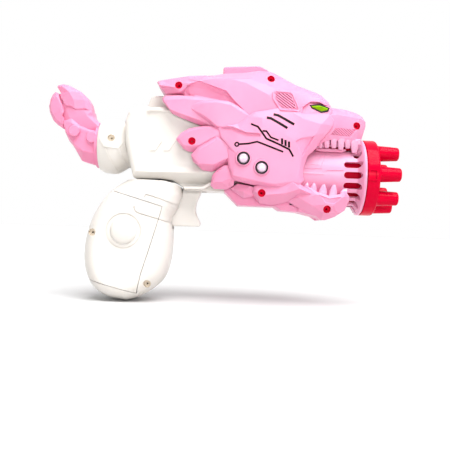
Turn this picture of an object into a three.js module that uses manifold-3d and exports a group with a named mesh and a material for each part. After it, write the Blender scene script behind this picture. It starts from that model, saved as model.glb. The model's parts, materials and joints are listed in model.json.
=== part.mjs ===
// A hand-held bubble blower shaped like an armoured beast's head, built as a three.js scene graph.
// Millimetres, +X out of the nozzle, +Z up, -Y the left-hand side. Run with three and manifold-3d.
// Depths are distances from the mid-plane: depth d is y = -d on the left side and y = +d on the right.
import * as THREE from "three";
import { mergeVertices } from "three/addons/utils/BufferGeometryUtils.js";
import Module from "manifold-3d";

const wasm = await Module();
wasm.setup();

// Driving dimensions
const GAP = 0.3; // clearance between neighbouring pieces
const WALL = 2.2; // shell wall
const TAIL_TIP_X = -128.6;
const NOZZLE_TIP_X = 119.5;
const GRIP_FOOT_Z = -0.9;

const AXIS_Z = 91.4; // barrel, fan and nozzle axis
const BARREL_R = 21.3;
const BARREL_BACK_X = 46;
const FLARE_BACK_X = 89.4; // where the barrel starts to widen
const FLANGE_X = 95.4;
const RING_R = 26.9;
const RING_BACK_X = 95.8;
const RING_FRONT_X = 104.7;
const SLOT_COUNT = 18;
const SLOT_LENGTH = 12.3;
const SLOT_WIDTH = 4.6;
const TUBE_COUNT = 7;
const TUBE_CIRCLE_R = 20;
const TUBE_BASE_R = 5.4;
const TUBE_TIP_R = 4.6;
const TUBE_BORE_R = 3.7;
const TUBE_PHASE = 4; // degrees above the left-hand direction

const COLLAR_Z = 107.6;
const BODY_HALF = 22;
const GRIP_HALF = 23;
const CHEEK_HALF = 34;

const TRIGGER_PIVOT = [-24, 83];
const TRIGGER_HALF = 6;
const PIN_R = 1.5;
const PIN_HALF = 12;
const SLOT_CLEARANCE = 0.5; // on each side of the trigger
const SPRING = { x0: -46.8, x1: -38, z: 69, radius: 2.4, wire: 0.4, turns: 4 };

const CELL_R = 7.1; // AA cell
const CELL_LENGTH = 50;
const CELL_PITCH = 14.8;
const CELL_BAY = { x: -68.5, z: 38.5, lean: 16.7 }; // centre and lean of the battery bay
const BAY_WIDTH = 2 * CELL_PITCH + 1;
const BAY_LENGTH = 57;

const SCREW_HEAD_R = 2;
const SCREW_SHANK_R = 1.1;
const WELL_R = 2.5;

const PINK = { color: 0xffb4da, roughness: 0.45, metalness: 0 };
const PINK_GLOSS = { color: 0xffbfe0, roughness: 0.2, metalness: 0 };
const CLAW_PINK = { color: 0xff9ccd, roughness: 0.45, metalness: 0 };
const WHITE = { color: 0xf7f2ea, roughness: 0.4, metalness: 0 };
const RED = { color: 0xe0002a, roughness: 0.18, metalness: 0 };
const GREEN = { color: 0x8cbe00, roughness: 0.3, metalness: 0 };
const DARK = { color: 0x3a3234, roughness: 0.5, metalness: 0 };
const PEARL = { color: 0xffe6f5, roughness: 0.1, metalness: 0 };
const STEEL = { color: 0xb9bcc0, roughness: 0.3, metalness: 1 };
const COPPER_WIRE = { color: 0xc03028, roughness: 0.5, metalness: 0 };
const CELL_COVER = { color: 0x2f6b46, roughness: 0.35, metalness: 0.2 };
const BOARD_GREEN = { color: 0x2d7a45, roughness: 0.5, metalness: 0 };

// ---- solids -------------------------------------------------------------------------------------

function solid(geometry) {
  const bare = geometry.clone();
  bare.deleteAttribute("normal");
  bare.deleteAttribute("uv");
  const merged = mergeVertices(bare, 1e-4);
  return new wasm.Manifold(
    new wasm.Mesh({
      numProp: 3,
      vertProperties: merged.attributes.position.array,
      triVerts: new Uint32Array(merged.index.array),
    }),
  );
}

function geometryOf(body) {
  const mesh = body.getMesh();
  const geometry = new THREE.BufferGeometry();
  geometry.setAttribute("position", new THREE.Float32BufferAttribute(mesh.vertProperties, mesh.numProp));
  geometry.setIndex(Array.from(mesh.triVerts));
  const faceted = geometry.toNonIndexed();
  faceted.computeVertexNormals();
  return faceted;
}

const join = (...bodies) => bodies.reduce((a, b) => a.add(b));
const cut = (body, ...tools) => tools.reduce((a, b) => a.subtract(b), body);

// An outline in the side view, [x, z], as a shape.
const sideShape = (outline) => new THREE.Shape(outline.map(([x, z]) => new THREE.Vector2(x, z)));

// A closed spline through side-view points.
function spline(points, steps) {
  const curve = new THREE.SplineCurve(points.map(([x, z]) => new THREE.Vector2(x, z)));
  return curve.getPoints(steps).map((p) => [p.x, p.y]);
}

// A side-view outline spread to both sides of the mid-plane, edges rounded or chamfered by `edge`
// in the side view and by `crown` in depth.
function spread(outline, half, edge = 0, steps = 1, crown = edge) {
  const geometry = new THREE.ExtrudeGeometry(sideShape(outline), {
    depth: 2 * (half - crown),
    bevelEnabled: edge > 0,
    bevelSize: edge,
    bevelOffset: -edge,
    bevelThickness: crown,
    bevelSegments: steps,
  });
  return geometry.rotateX(Math.PI / 2).translate(0, half - crown, 0);
}

const spreadSolid = (...args) => solid(spread(...args));

// A slab between two y values.
function slab(outline, y0, y1) {
  const geometry = new THREE.ExtrudeGeometry(sideShape(outline), { depth: y1 - y0, bevelEnabled: false });
  return solid(geometry.rotateX(Math.PI / 2).translate(0, y1, 0));
}

// A block between opposite corners.
function block([x0, y0, z0], [x1, y1, z1]) {
  const geometry = new THREE.BoxGeometry(x1 - x0, y1 - y0, z1 - z0);
  return geometry.translate((x0 + x1) / 2, (y0 + y1) / 2, (z0 + z1) / 2);
}

// A round bar along Y at [x, z].
function crossBar(radius, y0, y1, [x, z], sides = 12) {
  const geometry = new THREE.CylinderGeometry(radius, radius, y1 - y0, sides);
  return geometry.translate(x, (y0 + y1) / 2, z);
}

// A turned shape about a line along X at height z: profile points are [radius, x].
function turned(profile, z = AXIS_Z, sides = 36) {
  const points = profile.map(([r, x]) => new THREE.Vector2(r, x));
  const geometry = new THREE.LatheGeometry(points, sides);
  return geometry.rotateZ(-Math.PI / 2).translate(0, 0, z);
}

// A turned shape about a line along Y on the left-hand side: profile points are [radius, depth].
function turnedAcross(profile, [x, z], sides) {
  const points = profile.map(([r, depth]) => new THREE.Vector2(r, depth));
  return new THREE.LatheGeometry(points, sides).rotateX(Math.PI).translate(x, 0, z);
}

// A plain bar along X.
const axialBar = (radius, x0, x1, z = AXIS_Z, sides = 36) =>
  turned([[0, x0], [radius, x0], [radius, x1], [0, x1]], z, sides);

// A sleeve along X.
const sleeve = (outer, inner, x0, x1, z = AXIS_Z, sides = 36) =>
  turned([[inner, x0], [outer, x0], [outer, x1], [inner, x1], [inner, x0]], z, sides);

const BIG = 400;
const leftSpace = solid(block([-BIG, -BIG, -BIG], [BIG, -GAP / 2, BIG]));
const rightSpace = solid(block([-BIG, GAP / 2, -BIG], [BIG, BIG, BIG]));

// ---- the scene graph ----------------------------------------------------------------------------

const gun = new THREE.Group();
// The origin lies under the middle of the length, at the lowest point of the grip.
gun.position.set(-(TAIL_TIP_X + NOZZLE_TIP_X) / 2, 0, -GRIP_FOOT_Z);

function piece(name, geometry, material, parent = gun) {
  const shape = geometry.isBufferGeometry ? geometry : geometryOf(geometry);
  const mesh = new THREE.Mesh(shape, new THREE.MeshStandardMaterial(material));
  mesh.name = name;
  parent.add(mesh);
  return mesh;
}

// ---- screws and the bosses that take them -------------------------------------------------------

// Each screw goes in from the left: where it is, how deep its head sits and where its point ends.
const SCREWS = {
  screw_blade: { at: [-35, 149], head: 15, point: -9 },
  screw_crown: { at: [28.3, 156.1], head: 13, point: -9 },
  screw_snout: { at: [88.7, 126], head: 13, point: -9 },
  screw_mane: { at: [-24.3, 110.1], head: 24.6, point: 12 },
  screw_cheek: { at: [23.8, 76.6], head: 20, point: -9 },
  screw_jaw: { at: [68.7, 67.4], head: 17, point: -9 },
  screw_tail: { at: [-80.6, 111.7], head: 14, point: -11 },
  screw_grip: { at: [-52.1, 12.1], head: 12, point: -9 },
  screw_cover: { at: [-91, 46.2], head: 10, point: -9 },
};
const HEAD_THICKNESS = 1.7;
const BOSS_R = 3.6;

const screwDepths = ({ head, point }) => ({ headY: -head, seatY: -head + HEAD_THICKNESS, pointY: -point });

function screw(spec) {
  const { headY, seatY, pointY } = screwDepths(spec);
  const head = solid(crossBar(SCREW_HEAD_R, headY, seatY, spec.at, 12));
  const shank = solid(crossBar(SCREW_SHANK_R, headY + 0.5, pointY, spec.at, 8));
  const [x, z] = spec.at;
  const slotA = solid(block([x - 1.4, headY - 1, z - 0.3], [x + 1.4, headY + 0.8, z + 0.3]));
  const slotB = solid(block([x - 0.3, headY - 1, z - 1.4], [x + 0.3, headY + 0.8, z + 1.4]));
  return cut(join(head, shank), slotA, slotB);
}

// The well and the shank's hole, as one tool that opens on the left.
function screwHole(spec) {
  const { headY, seatY, pointY } = screwDepths(spec);
  const well = solid(crossBar(WELL_R, -BIG, seatY + GAP, spec.at, 12));
  const hole = solid(crossBar(SCREW_SHANK_R + GAP, headY, pointY + GAP, spec.at, 8));
  return join(well, hole);
}

const boss = (spec, y0, y1, radius = BOSS_R) => solid(crossBar(radius, y0, y1, spec.at, 12));

// ---- outlines -----------------------------------------------------------------------------------

const BODY = [
  [-64.5, 84.6], [-46.7, 85], [-37.5, 84.2], [-30.5, 80.2], [-28.6, 77.3], [12, 77.8],
  [12, 134], [-62, 134], [-69, 130.5], [-71.5, 123], [-70.5, 108],
];
const BODY_CAVITY = [
  [-62, 87.2], [-34, 86.2], [-29, 80.2], [9, 80.2], [9, 131.5], [-62, 131.5], [-67.5, 123], [-66.5, 108],
];
const BODY_RIDGE = [[-60, 132], [-55, 144.5], [-18, 144.5], [-10, 140], [-10, 132]];
const GRIP_BULB = spline(
  [
    [-37.4, 52.5], [-37.1, 40], [-38.4, 26], [-43, 13.5], [-54.9, 3.7], [-66, GRIP_FOOT_Z + 0.3],
    [-71, GRIP_FOOT_Z + 0.3], [-81.5, 1.4], [-90.9, 7.5], [-96.6, 18], [-98.6, 32], [-97, 45], [-92, 60],
    [-84, 72.5], [-76.5, 79.3], [-63, 90],
  ],
  26,
);
const GRIP_NECK = [[-31.4, 90], [-31.6, 74], [-33.1, 66.7], [-36.1, 61.5]];
const GRIP = [...GRIP_BULB, ...GRIP_NECK];
const GRIP_EDGE = 10;
const GRIP_CROWN = 17;
const COVER_REGION = [[-43.5, 65.3], [-50.4, 40.2], [-57.6, 19.6], [-59.8, 5.5], [-106, 17], [-106, 83]];
const COVER_SLIT = 0.8; // the slit above the battery cover
const COVER_DOME = { radius: 9.3, rise: 3.9, x: -69.2, z: 47.8 };
const TRIGGER_SLOT = [[-14, 51], [-46, 51], [-46, 58], [-41, 72], [-34.5, 84], [-34.5, 90], [-14, 90]];
const TRIGGER = [
  [-18.6, 52.2], [-17.7, 55.2], [-20.4, 59.5], [-21.4, 64.5], [-20.3, 70], [-18, 76], [-17.2, 80],
  [-17.2, 97], [-21.5, 97], [-22, 89], [-29, 88], [-30.6, 80], [-33.2, 72], [-38.6, 62], [-39.2, 52.2],
];

// The head's armour plates: side outline, half-width at the plate's face, chamfer of its rim.
const HEAD_PLATES = {
  skull: [[[-24, 144], [-24, 157], [-4, 159.8], [10.5, 162.2], [21.6, 163.4], [32.2, 160.8], [48.2, 153.1],
    [59.2, 149.1], [64, 146], [70.4, 140.5], [69, 134], [58, 122], [20, 116], [-6, 120]], 25, 6],
  crest: [[[-4.9, 167.2], [21.2, 168.8], [32, 162], [20, 156], [-2, 156]], 3.5, 0.8],
  blade_upper: [[[-50.8, 152], [-48.5, 153.7], [-35.4, 156.4], [-20, 157.4], [-8, 156], [-8, 146],
    [-23.5, 142], [-43.8, 143.1], [-47.9, 148.2]], 23, 2.2],
  blade_lower: [[[-44.2, 139], [-42.7, 140.4], [-29, 140.8], [-10, 140], [0, 132], [-5, 120], [-19.4, 120.5],
    [-27.2, 123.5], [-35.7, 126.4], [-39.4, 130.1], [-44.5, 136.4]], 28, 2.2],
  leaf: [[[-26.2, 134], [-21.1, 136.8], [-9.6, 138.2], [-3.2, 137.5], [3.4, 135.1], [14, 128.4], [6, 120],
    [-9, 119.9], [-14.4, 127], [-25, 130]], 31, 2.5],
  temple: [[[-5.7, 146.4], [-1, 150.5], [10.7, 148.9], [20.5, 145.4], [27.2, 141.1], [32.6, 133.5],
    [14.6, 128], [2.7, 137]], 28.5, 2],
  ear_vent: [[[28.2, 142], [28.4, 144.6], [30.7, 146.4], [40.8, 146.7], [49.8, 132.9],
    [33.9, 132]], 27.5, 1.2],
  snout: [[[56, 139], [71, 139.3], [79.8, 138.4], [90.6, 136.5], [94.7, 133.6], [97, 129.7], [96.7, 125],
    [93.9, 116.9], [87.7, 114.6], [84.4, 114.5], [79.7, 116.3], [68.6, 115.4], [62, 109], [52, 112]], 21, 4],
  cheek: [[[-8.3, 119.3], [-7.6, 114], [-0.8, 107.1], [3.5, 88.2], [2.9, 85.8], [16.8, 80.9], [30, 80.4],
    [44.3, 82], [52.3, 85.8], [51.4, 89.9], [52.4, 97.7], [54.3, 102.9], [61.4, 107.9], [66, 114], [69, 121],
    [66, 128], [50, 131.5], [33, 133], [15, 130], [3, 121.5]], CHEEK_HALF, 3.7],
  mane_upper: [[[-35.3, 111.7], [-26.9, 117.1], [-17.5, 120], [-4, 121.5], [-4, 112], [-18.8, 106.2],
    [-23.8, 103], [-28.1, 103.3]], 28.5, 2.5],
  mane_middle: [[[-24, 99.8], [-21.7, 103.5], [-8.8, 113], [2, 107], [4, 98.2], [-8.7, 92.2],
    [-17.7, 91]], 30, 2.5],
  mane_lower: [[[-10.7, 80.5], [-9.8, 87.2], [-6.9, 94.5], [6, 96], [8, 84], [0, 78], [-8.2, 78.1]], 28, 2],
  mane_tip: [[[4.4, 79], [11.5, 82.8], [19, 82], [19, 75.2], [11.9, 72.6], [5.8, 75.4]], 27, 1.5],
  jaw_root: [[[17.5, 80.5], [30.6, 82.5], [42.7, 93.9], [47, 88], [50, 80.3], [59.5, 76.6], [52, 74.5],
    [33.4, 69.7], [23.9, 69.4], [17, 76.3]], 33, 3],
  jaw_front: [[[50, 77.5], [60, 78.3], [70, 76.8], [76, 77.5], [80.3, 81.4], [82.5, 79.9], [83.5, 73.6],
    [82.3, 68.8], [79.6, 64.8], [72.6, 63], [69.3, 60], [66.4, 59.6], [60.5, 63.4], [51, 65.4],
    [42, 70]], 26, 1.8],
  belly: [[[-1.6, 77.6], [8, 68], [34.6, 68], [38.4, 66], [57.6, 64.8], [62, 72], [50, 86], [-1, 86]], 20, 3],
};
const HEAD_CAVITIES = [
  [[[-18, 150], [-18, 154], [10, 159], [21, 160], [31, 157], [47, 149.5], [58, 145], [65, 139], [62, 132],
    [48, 112], [12.6, 112], [12.6, 136], [-8, 142]], 21.5],
  [[[62, 134], [70, 135.5], [82, 134], [82, 120], [70, 119], [62, 116]], 16],
  [[[12.6, 128], [46, 128], [58, 121], [48, 108], [48, 88], [38, 83.5], [12.6, 84.5]], 30],
  [[[13, 86], [13, 71.5], [36, 70.5], [46, 69.5], [46, 86]], 17],
];
// Rows of teeth: place along X and relative size of each, height and depth of the gum.
const MOUTH_TEETH = {
  upper: { row: [[70, 0.9], [75, 1], [80.5, 1.15], [86, 0.9], [91, 1.35]], z: 116, y: 18.6, up: false },
  lower: { row: [[56.5, 0.8], [62, 0.95], [67.5, 1.1], [73.5, 1.15]], z: 76.6, y: 23.2, up: true },
};
const TOOTH = { width: 4.6, height: 6 };

// ---- shells of the body and grip ----------------------------------------------------------------

function collarShape() {
  const bowl = [[0, -90.8], [16.6, -90.8], [18.2, -88.5], [19.2, -84.5], [19.4, -81], [18.4, -77],
    [16.4, -73.6], [14.6, -70.6], [14.6, -64], [0, -64]];
  return solid(turned(bowl, COLLAR_Z, 28));
}

function collarBore() {
  const bore = [[0, -92], [15.8, -92], [15.8, -84], [12, -74], [12, -66], [0, -66]];
  return solid(turned(bore, COLLAR_Z, 24));
}

const bodyBlock = () => spreadSolid(BODY, BODY_HALF, 4, 2);
const gripBlock = () => spreadSolid(GRIP, GRIP_HALF, GRIP_EDGE, 3, GRIP_CROWN);

function gripCavity() {
  const [cx, cz] = [-66, 40];
  const inner = spread(GRIP, GRIP_HALF, GRIP_EDGE, 2, GRIP_CROWN);
  inner.translate(-cx, 0, -cz).scale(0.92, 0.9, 0.94).translate(cx, 0, cz);
  return solid(inner);
}

// The battery bay, a leaning box that the four cells and their contacts fill.
function bayBlock(grow = 0) {
  const geometry = new THREE.BoxGeometry(BAY_WIDTH + grow, BAY_WIDTH + grow, BAY_LENGTH + grow);
  geometry.rotateY(THREE.MathUtils.degToRad(CELL_BAY.lean));
  return solid(geometry.translate(CELL_BAY.x, 0, CELL_BAY.z));
}

// The way from the grip up into the body, and the hole through which the wires reach the motor.
const gripThroat = () => solid(block([-61, -14, 78], [-38, 14, 92]));
const wirePort = () => solid(block([5, -8, 86], [16, 8, 108]));

// A rib behind the trigger that the spring leans on.
function springSeat() {
  const rib = solid(block([SPRING.x0 - 2.6, -BIG, SPRING.z - 4.2], [SPRING.x0 - 0.6, BIG, SPRING.z + 6]));
  return cut(rib.intersect(gripBlock()), bayBlock(1));
}

function pivotBosses() {
  const room = TRIGGER_HALF + 2 * GAP;
  return cut(solid(crossBar(4, -21, 21, TRIGGER_PIVOT)), solid(crossBar(6, -room, room, TRIGGER_PIVOT)));
}

function shellPosts() {
  const parting = solid(block([-BIG, -0.5, -BIG], [BIG, 0.5, BIG]));
  const pairs = [SCREWS.screw_tail, SCREWS.screw_grip].map((spec) => cut(boss(spec, -17, 17), parting));
  const coverPost = cut(boss(SCREWS.screw_cover, GAP, 18), bayBlock(1));
  return [...pairs, coverPost, boss(SCREWS.screw_mane, -21, -11)];
}

function bodyShells() {
  const outer = join(bodyBlock(), spreadSolid(BODY_RIDGE, 7, 2), collarShape(), gripBlock());
  const cavity = spreadSolid(BODY_CAVITY, BODY_HALF - WALL, 2);
  const hollow = join(cavity, collarBore(), gripCavity(), gripThroat(), wirePort());
  const shell = cut(outer, hollow, bayBlock());
  const full = join(shell, springSeat(), pivotBosses(), ...shellPosts());
  const pinHole = solid(crossBar(PIN_R + GAP, -PIN_HALF - 1, PIN_HALF + 1, TRIGGER_PIVOT));
  const triggerSlot = spreadSolid(TRIGGER_SLOT, TRIGGER_HALF + SLOT_CLEARANCE);
  return cut(full, pinHole, triggerSlot);
}

const shellScrews = [SCREWS.screw_tail, SCREWS.screw_grip, SCREWS.screw_mane, SCREWS.screw_cover];
const shells = cut(bodyShells(), ...shellScrews.map(screwHole));
// The cover's region with its upper edge raised by the slit.
const coverOpening = COVER_REGION.map(([x, z], i) => [x, z + (i === 0 || i === 5 ? COVER_SLIT : 0)]);
const bodyLeft = cut(shells.intersect(leftSpace), slab(coverOpening, -BIG, 1));

function batteryCover() {
  const inner = COVER_REGION.map(([x, z], i) => [x - (i < 4 ? GAP : 0), z + (i === 3 || i === 4 ? GAP : 0)]);
  const lid = gripBlock().intersect(slab(inner, -BIG, -GAP / 2));
  const hollow = join(gripCavity(), bayBlock());
  const post = cut(boss(SCREWS.screw_cover, -19, -GAP / 2).intersect(gripBlock()), bayBlock(1));
  const { radius, rise, x, z } = COVER_DOME;
  const ball = new THREE.SphereGeometry(radius, 16, 8).scale(1, rise / radius, 1);
  const reach = 2 * radius;
  const inside = solid(block([x - reach, -GRIP_HALF + 1, z - reach], [x + reach, 0, z + reach]));
  const dome = cut(solid(ball.translate(x, -GRIP_HALF + 1.2, z)), inside);
  return cut(join(cut(lid, hollow), dome, post), screwHole(SCREWS.screw_cover));
}

piece("body_left", bodyLeft, WHITE);
piece("body_right", shells.intersect(rightSpace), WHITE);
piece("battery_cover", batteryCover(), WHITE);

// ---- head shells --------------------------------------------------------------------------------

// A square-sided fang at [x, z], pointing up or down.
function tooth(x, z, size, up) {
  const cone = new THREE.CylinderGeometry(0.25 * size, 0.5 * TOOTH.width * size, TOOTH.height * size, 4);
  cone.rotateX(up ? Math.PI / 2 : -Math.PI / 2);
  const half = (TOOTH.height * size) / 2 - 0.8;
  return cone.translate(x, 0, up ? z + half : z - half);
}

function teeth() {
  const list = [];
  for (const { row, z, y, up } of Object.values(MOUTH_TEETH)) {
    for (const [x, size] of row) {
      for (const side of [-1, 1]) list.push(solid(tooth(x, z, size, up).translate(0, side * y, 0)));
    }
  }
  return list;
}

const LAMPS = { rear: [10.7, 99.1], front: [23, 93.3] };
const LAMP_RING_R = 6;
const LAMP_HOLE_R = 5;
const EYE = [[55.1, 138], [61.9, 138.6], [68.2, 136.5], [68.7, 134.9], [63.1, 133.4], [56.8, 136.1]];
const EYE_DEPTHS = { back: 20.7, front: 24.6 };

// An outline with its corners moved outwards from its centre.
function grown(outline, by) {
  const cx = outline.reduce((s, [x]) => s + x, 0) / outline.length;
  const cz = outline.reduce((s, [, z]) => s + z, 0) / outline.length;
  return outline.map(([x, z]) => {
    const length = Math.hypot(x - cx, z - cz);
    const k = (length + by) / length;
    return [cx + (x - cx) * k, cz + (z - cz) * k];
  });
}

const { screw_blade, screw_crown, screw_snout, screw_cheek, screw_jaw } = SCREWS;
const HEAD_SCREWS = [screw_blade, screw_crown, screw_snout, screw_cheek, screw_jaw];

// The room that the body and its rail take inside the head.
function bodyRoom() {
  const half = BODY_HALF + GAP;
  const body = [[-72, 60], [12.4, 77.4], [12.4, 134.4], [-10, 134.4], [-10, 145], [-72, 145]];
  const under = [[-40, 60], [-2, 60], [-2, 77.4], [12.4, 77.4], [-40, 90]];
  return join(spreadSolid(body, half), spreadSolid(under, half));
}

// The room for the barrel, and in front of it for its flange and the nozzle's ring.
function barrelRoom() {
  const tube = axialBar(BARREL_R + 0.4, BARREL_BACK_X - GAP, FLARE_BACK_X + 1);
  return join(solid(tube), solid(axialBar(RING_R + 2 * GAP, FLARE_BACK_X - 0.8, 130)));
}

function eyePockets() {
  const outline = grown(EYE, GAP);
  const back = EYE_DEPTHS.back - GAP;
  return [slab(outline, -BIG, -back), slab(outline, back, BIG)];
}

function headShells() {
  const plates = Object.values(HEAD_PLATES).map(([outline, half, rim]) => spreadSolid(outline, half, rim));
  const lamps = Object.values(LAMPS);
  const ringHalf = CHEEK_HALF + 1.6;
  const lampRings = lamps.map((at) => solid(crossBar(LAMP_RING_R, -ringHalf, ringHalf, at, 16)));
  const bulk = join(...plates, ...lampRings, ...teeth());
  const hollows = HEAD_CAVITIES.map(([outline, half]) => spreadSolid(outline, half));
  const shell = cut(bulk, ...hollows, bodyRoom(), wirePort());
  const posts = HEAD_SCREWS.map((spec) => boss(spec, -20, 20));
  const lampHoles = lamps.map((at) => solid(crossBar(LAMP_HOLE_R, -BIG, BIG, at, 16)));
  const holes = [...HEAD_SCREWS, SCREWS.screw_mane].map(screwHole);
  return cut(join(shell, ...posts), barrelRoom(), ...lampHoles, ...eyePockets(), ...holes);
}

// A red arch behind the upper teeth, lying over the barrel.
const LINER = { x0: 63, x1: 88, inner: 21.8, outer: 24.2, foot: 103.5 };
function linerArch(grow) {
  const { x0, x1, inner, outer, foot } = LINER;
  const arch = solid(sleeve(outer + grow, inner - grow, x0 - grow, x1 + grow));
  return arch.intersect(solid(block([x0 - 1, -BIG, foot - grow], [x1 + 1, BIG, BIG])));
}
piece("mouth_liner", linerArch(0), RED);

const head = cut(headShells(), linerArch(GAP));
piece("head_left", head.intersect(leftSpace), PINK);
piece("head_right", head.intersect(rightSpace), PINK);

for (const side of ["left", "right"]) {
  const mirrored = new THREE.Group();
  mirrored.scale.y = side === "left" ? 1 : -1;
  gun.add(mirrored);
  piece(`eye_${side}`, slab(EYE, -EYE_DEPTHS.front, -EYE_DEPTHS.back), GREEN, mirrored);
  for (const [place, [x, z]] of Object.entries(LAMPS)) {
    const rim = [[3.75, 30], [4.7, 30], [4.7, 36], [4.3, 36.4], [3.75, 36.4], [3.75, 30]];
    const bezel = turnedAcross(rim, [x, z], 14);
    piece(`lamp_bezel_${place}_${side}`, bezel, DARK, mirrored);
    const lens = turnedAcross([[0, 29.6], [3.4, 29.6], [3.4, 35], [2.2, 36], [0, 36.3]], [x, z], 12);
    piece(`lamp_lens_${place}_${side}`, lens, PEARL, mirrored);
  }
  piece(`led_board_${side}`, block([13.6, -28.9, 88], [30, -27.4, 103]), BOARD_GREEN, mirrored);
}

// ---- tail claw ----------------------------------------------------------------------------------

const CLAW = [
  [-123.5, 149.6], [-119.1, 150.5], [-114.7, 149.6], [-108.6, 146.5], [-101.9, 142.4], [-99.4, 139.2],
  [-97.7, 132.2], [-96.8, 128.5], [-93.6, 124.9], [-93.6, 97], [-106, 101], [-109.4, 106.8], [-112.2, 109.4],
  [-115.1, 114.2], [-117.5, 119.3], [-121.3, 121.6], [-124.7, 124.7], [-127.6, 130.1], [TAIL_TIP_X, 134.4],
  [-127.9, 139.3], [-126, 143], [-124.5, 146.5],
];
const CLAW_ROOT = [
  [-107, 101], [-105.3, 97.4], [-102, 95.9], [-91.1, 94], [-91.1, 121], [-95, 119.5], [-103, 112],
];
const CLAW_NOTCH = [[-127, 148.5], [-120.4, 143.6], [-127, 144.6]];

function clawShape() {
  const blade = cut(spreadSolid(CLAW, 8.5, 1.6), slab(CLAW_NOTCH, -20, 20));
  const root = spreadSolid(CLAW_ROOT, 12.5, 1.5);
  const tang = solid(axialBar(15.4, -93, -85, COLLAR_Z, 24));
  const studs = [[-108, 117.1], [-97.6, 112.6]].map((at) => solid(crossBar(4, -13.6, 13.6, at)));
  const bore = solid(axialBar(11, -104, -84, COLLAR_Z, 16));
  const screwRoom = solid(crossBar(BOSS_R + GAP, -20, 20, SCREWS.screw_tail.at));
  return cut(join(blade, root, tang, ...studs), bore, screwRoom);
}
piece("tail_claw", clawShape(), CLAW_PINK);

// ---- barrel, fan and nozzle ---------------------------------------------------------------------

const BARREL_BORE_R = 19.4;
const SLOT_BACK_X = 80.4;
const FAN = { hubR: 4.5, tipR: 15.4, x0: 83, x1: 90, blades: 7 };
const DUCT = { outer: 17.6, inner: 16.2, back: 79, front: 92.9 };
const NOZZLE_SLEEVE = { outer: 19, inner: 17.4, back: 93.2 };
const SNAP_WINDOW = { x0: 96.6, x1: 102.2, z0: 87.9, z1: 95.3, rim: 1 };

// A round-ended slot lying along X, cut outwards from the axis.
function barrelSlot(length) {
  const straight = length - SLOT_WIDTH;
  const front = SLOT_BACK_X + SLOT_LENGTH;
  const shape = new THREE.Shape();
  shape.absarc(front - SLOT_WIDTH / 2, 0, SLOT_WIDTH / 2, -Math.PI / 2, Math.PI / 2, false);
  shape.absarc(front - SLOT_WIDTH / 2 - straight, 0, SLOT_WIDTH / 2, Math.PI / 2, (3 * Math.PI) / 2, false);
  const geometry = new THREE.ExtrudeGeometry(shape, { depth: 12, bevelEnabled: false, curveSegments: 3 });
  return geometry.translate(0, 0, 15);
}

function barrel() {
  const wall = [
    [BARREL_BORE_R, BARREL_BACK_X], [BARREL_R, BARREL_BACK_X], [BARREL_R, FLARE_BACK_X], [22.2, 90.4],
    [26, 92.8], [RING_R, 93.8], [RING_R, FLANGE_X], [BARREL_BORE_R, FLANGE_X], [BARREL_BORE_R, BARREL_BACK_X],
  ];
  const slots = [];
  for (let i = 0; i < SLOT_COUNT; i++) {
    const turn = (2 * Math.PI * i) / SLOT_COUNT;
    const underFang = Math.abs(Math.sin(turn) - 0.64) < 0.05;
    const slot = barrelSlot(underFang ? 5.6 : SLOT_LENGTH);
    slot.rotateX(Math.PI / 2 - turn).translate(0, 0, AXIS_Z);
    slots.push(solid(slot));
  }
  return cut(solid(turned(wall)), ...slots);
}
piece("barrel", barrel(), PINK_GLOSS);

// The ring, its front plate and the sleeve that presses into the barrel.
function nozzleCup() {
  const plateBack = RING_FRONT_X - 2.6;
  const { outer, inner, back } = NOZZLE_SLEEVE;
  return solid(turned([
    [RING_R - 2, RING_BACK_X], [RING_R, RING_BACK_X], [RING_R, RING_FRONT_X - 1], [RING_R - 1, RING_FRONT_X],
    [0, RING_FRONT_X], [0, plateBack], [inner, plateBack], [inner, back], [outer, back],
    [outer, plateBack], [RING_R - 2, plateBack], [RING_R - 2, RING_BACK_X],
  ]));
}

// The raised frame on the left of the ring.
function snapWindow() {
  const { x0, x1, z0, z1, rim } = SNAP_WINDOW;
  const frame = solid(block([x0, -RING_R - 0.6, z0], [x1, -RING_R + 1.5, z1]));
  return cut(frame, solid(block([x0 + rim, -RING_R - 1, z0 + rim], [x1 - rim, -RING_R - 0.05, z1 - rim])));
}

function nozzleHead() {
  const tubes = [];
  const bores = [];
  const outside = [[0, 103], [TUBE_BASE_R, 103], [TUBE_TIP_R, NOZZLE_TIP_X], [0, NOZZLE_TIP_X]];
  for (let i = 0; i < TUBE_COUNT; i++) {
    const turn = THREE.MathUtils.degToRad(TUBE_PHASE + (360 * i) / TUBE_COUNT);
    const [dy, dz] = [-TUBE_CIRCLE_R * Math.cos(turn), TUBE_CIRCLE_R * Math.sin(turn)];
    tubes.push(solid(turned(outside, AXIS_Z + dz, 12).translate(0, dy, 0)));
    bores.push(solid(axialBar(TUBE_BORE_R, 101, NOZZLE_TIP_X + 1, AXIS_Z + dz, 10).translate(0, dy, 0)));
  }
  const centreHole = solid(axialBar(TUBE_BORE_R, 101, 106, AXIS_Z, 10));
  return cut(join(nozzleCup(), ...tubes, snapWindow()), ...bores, centreHole);
}
piece("nozzle_head", nozzleHead(), RED);

function fanDuct() {
  const { outer, inner, back, front } = DUCT;
  const flange = BARREL_BORE_R - GAP;
  const lip = front - 0.9;
  const wall = [
    [inner, back], [outer, back], [outer, lip], [flange, lip], [flange, front], [inner, front], [inner, back],
  ];
  return turned(wall, AXIS_Z, 24);
}
piece("fan_duct", fanDuct(), RED);

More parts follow.
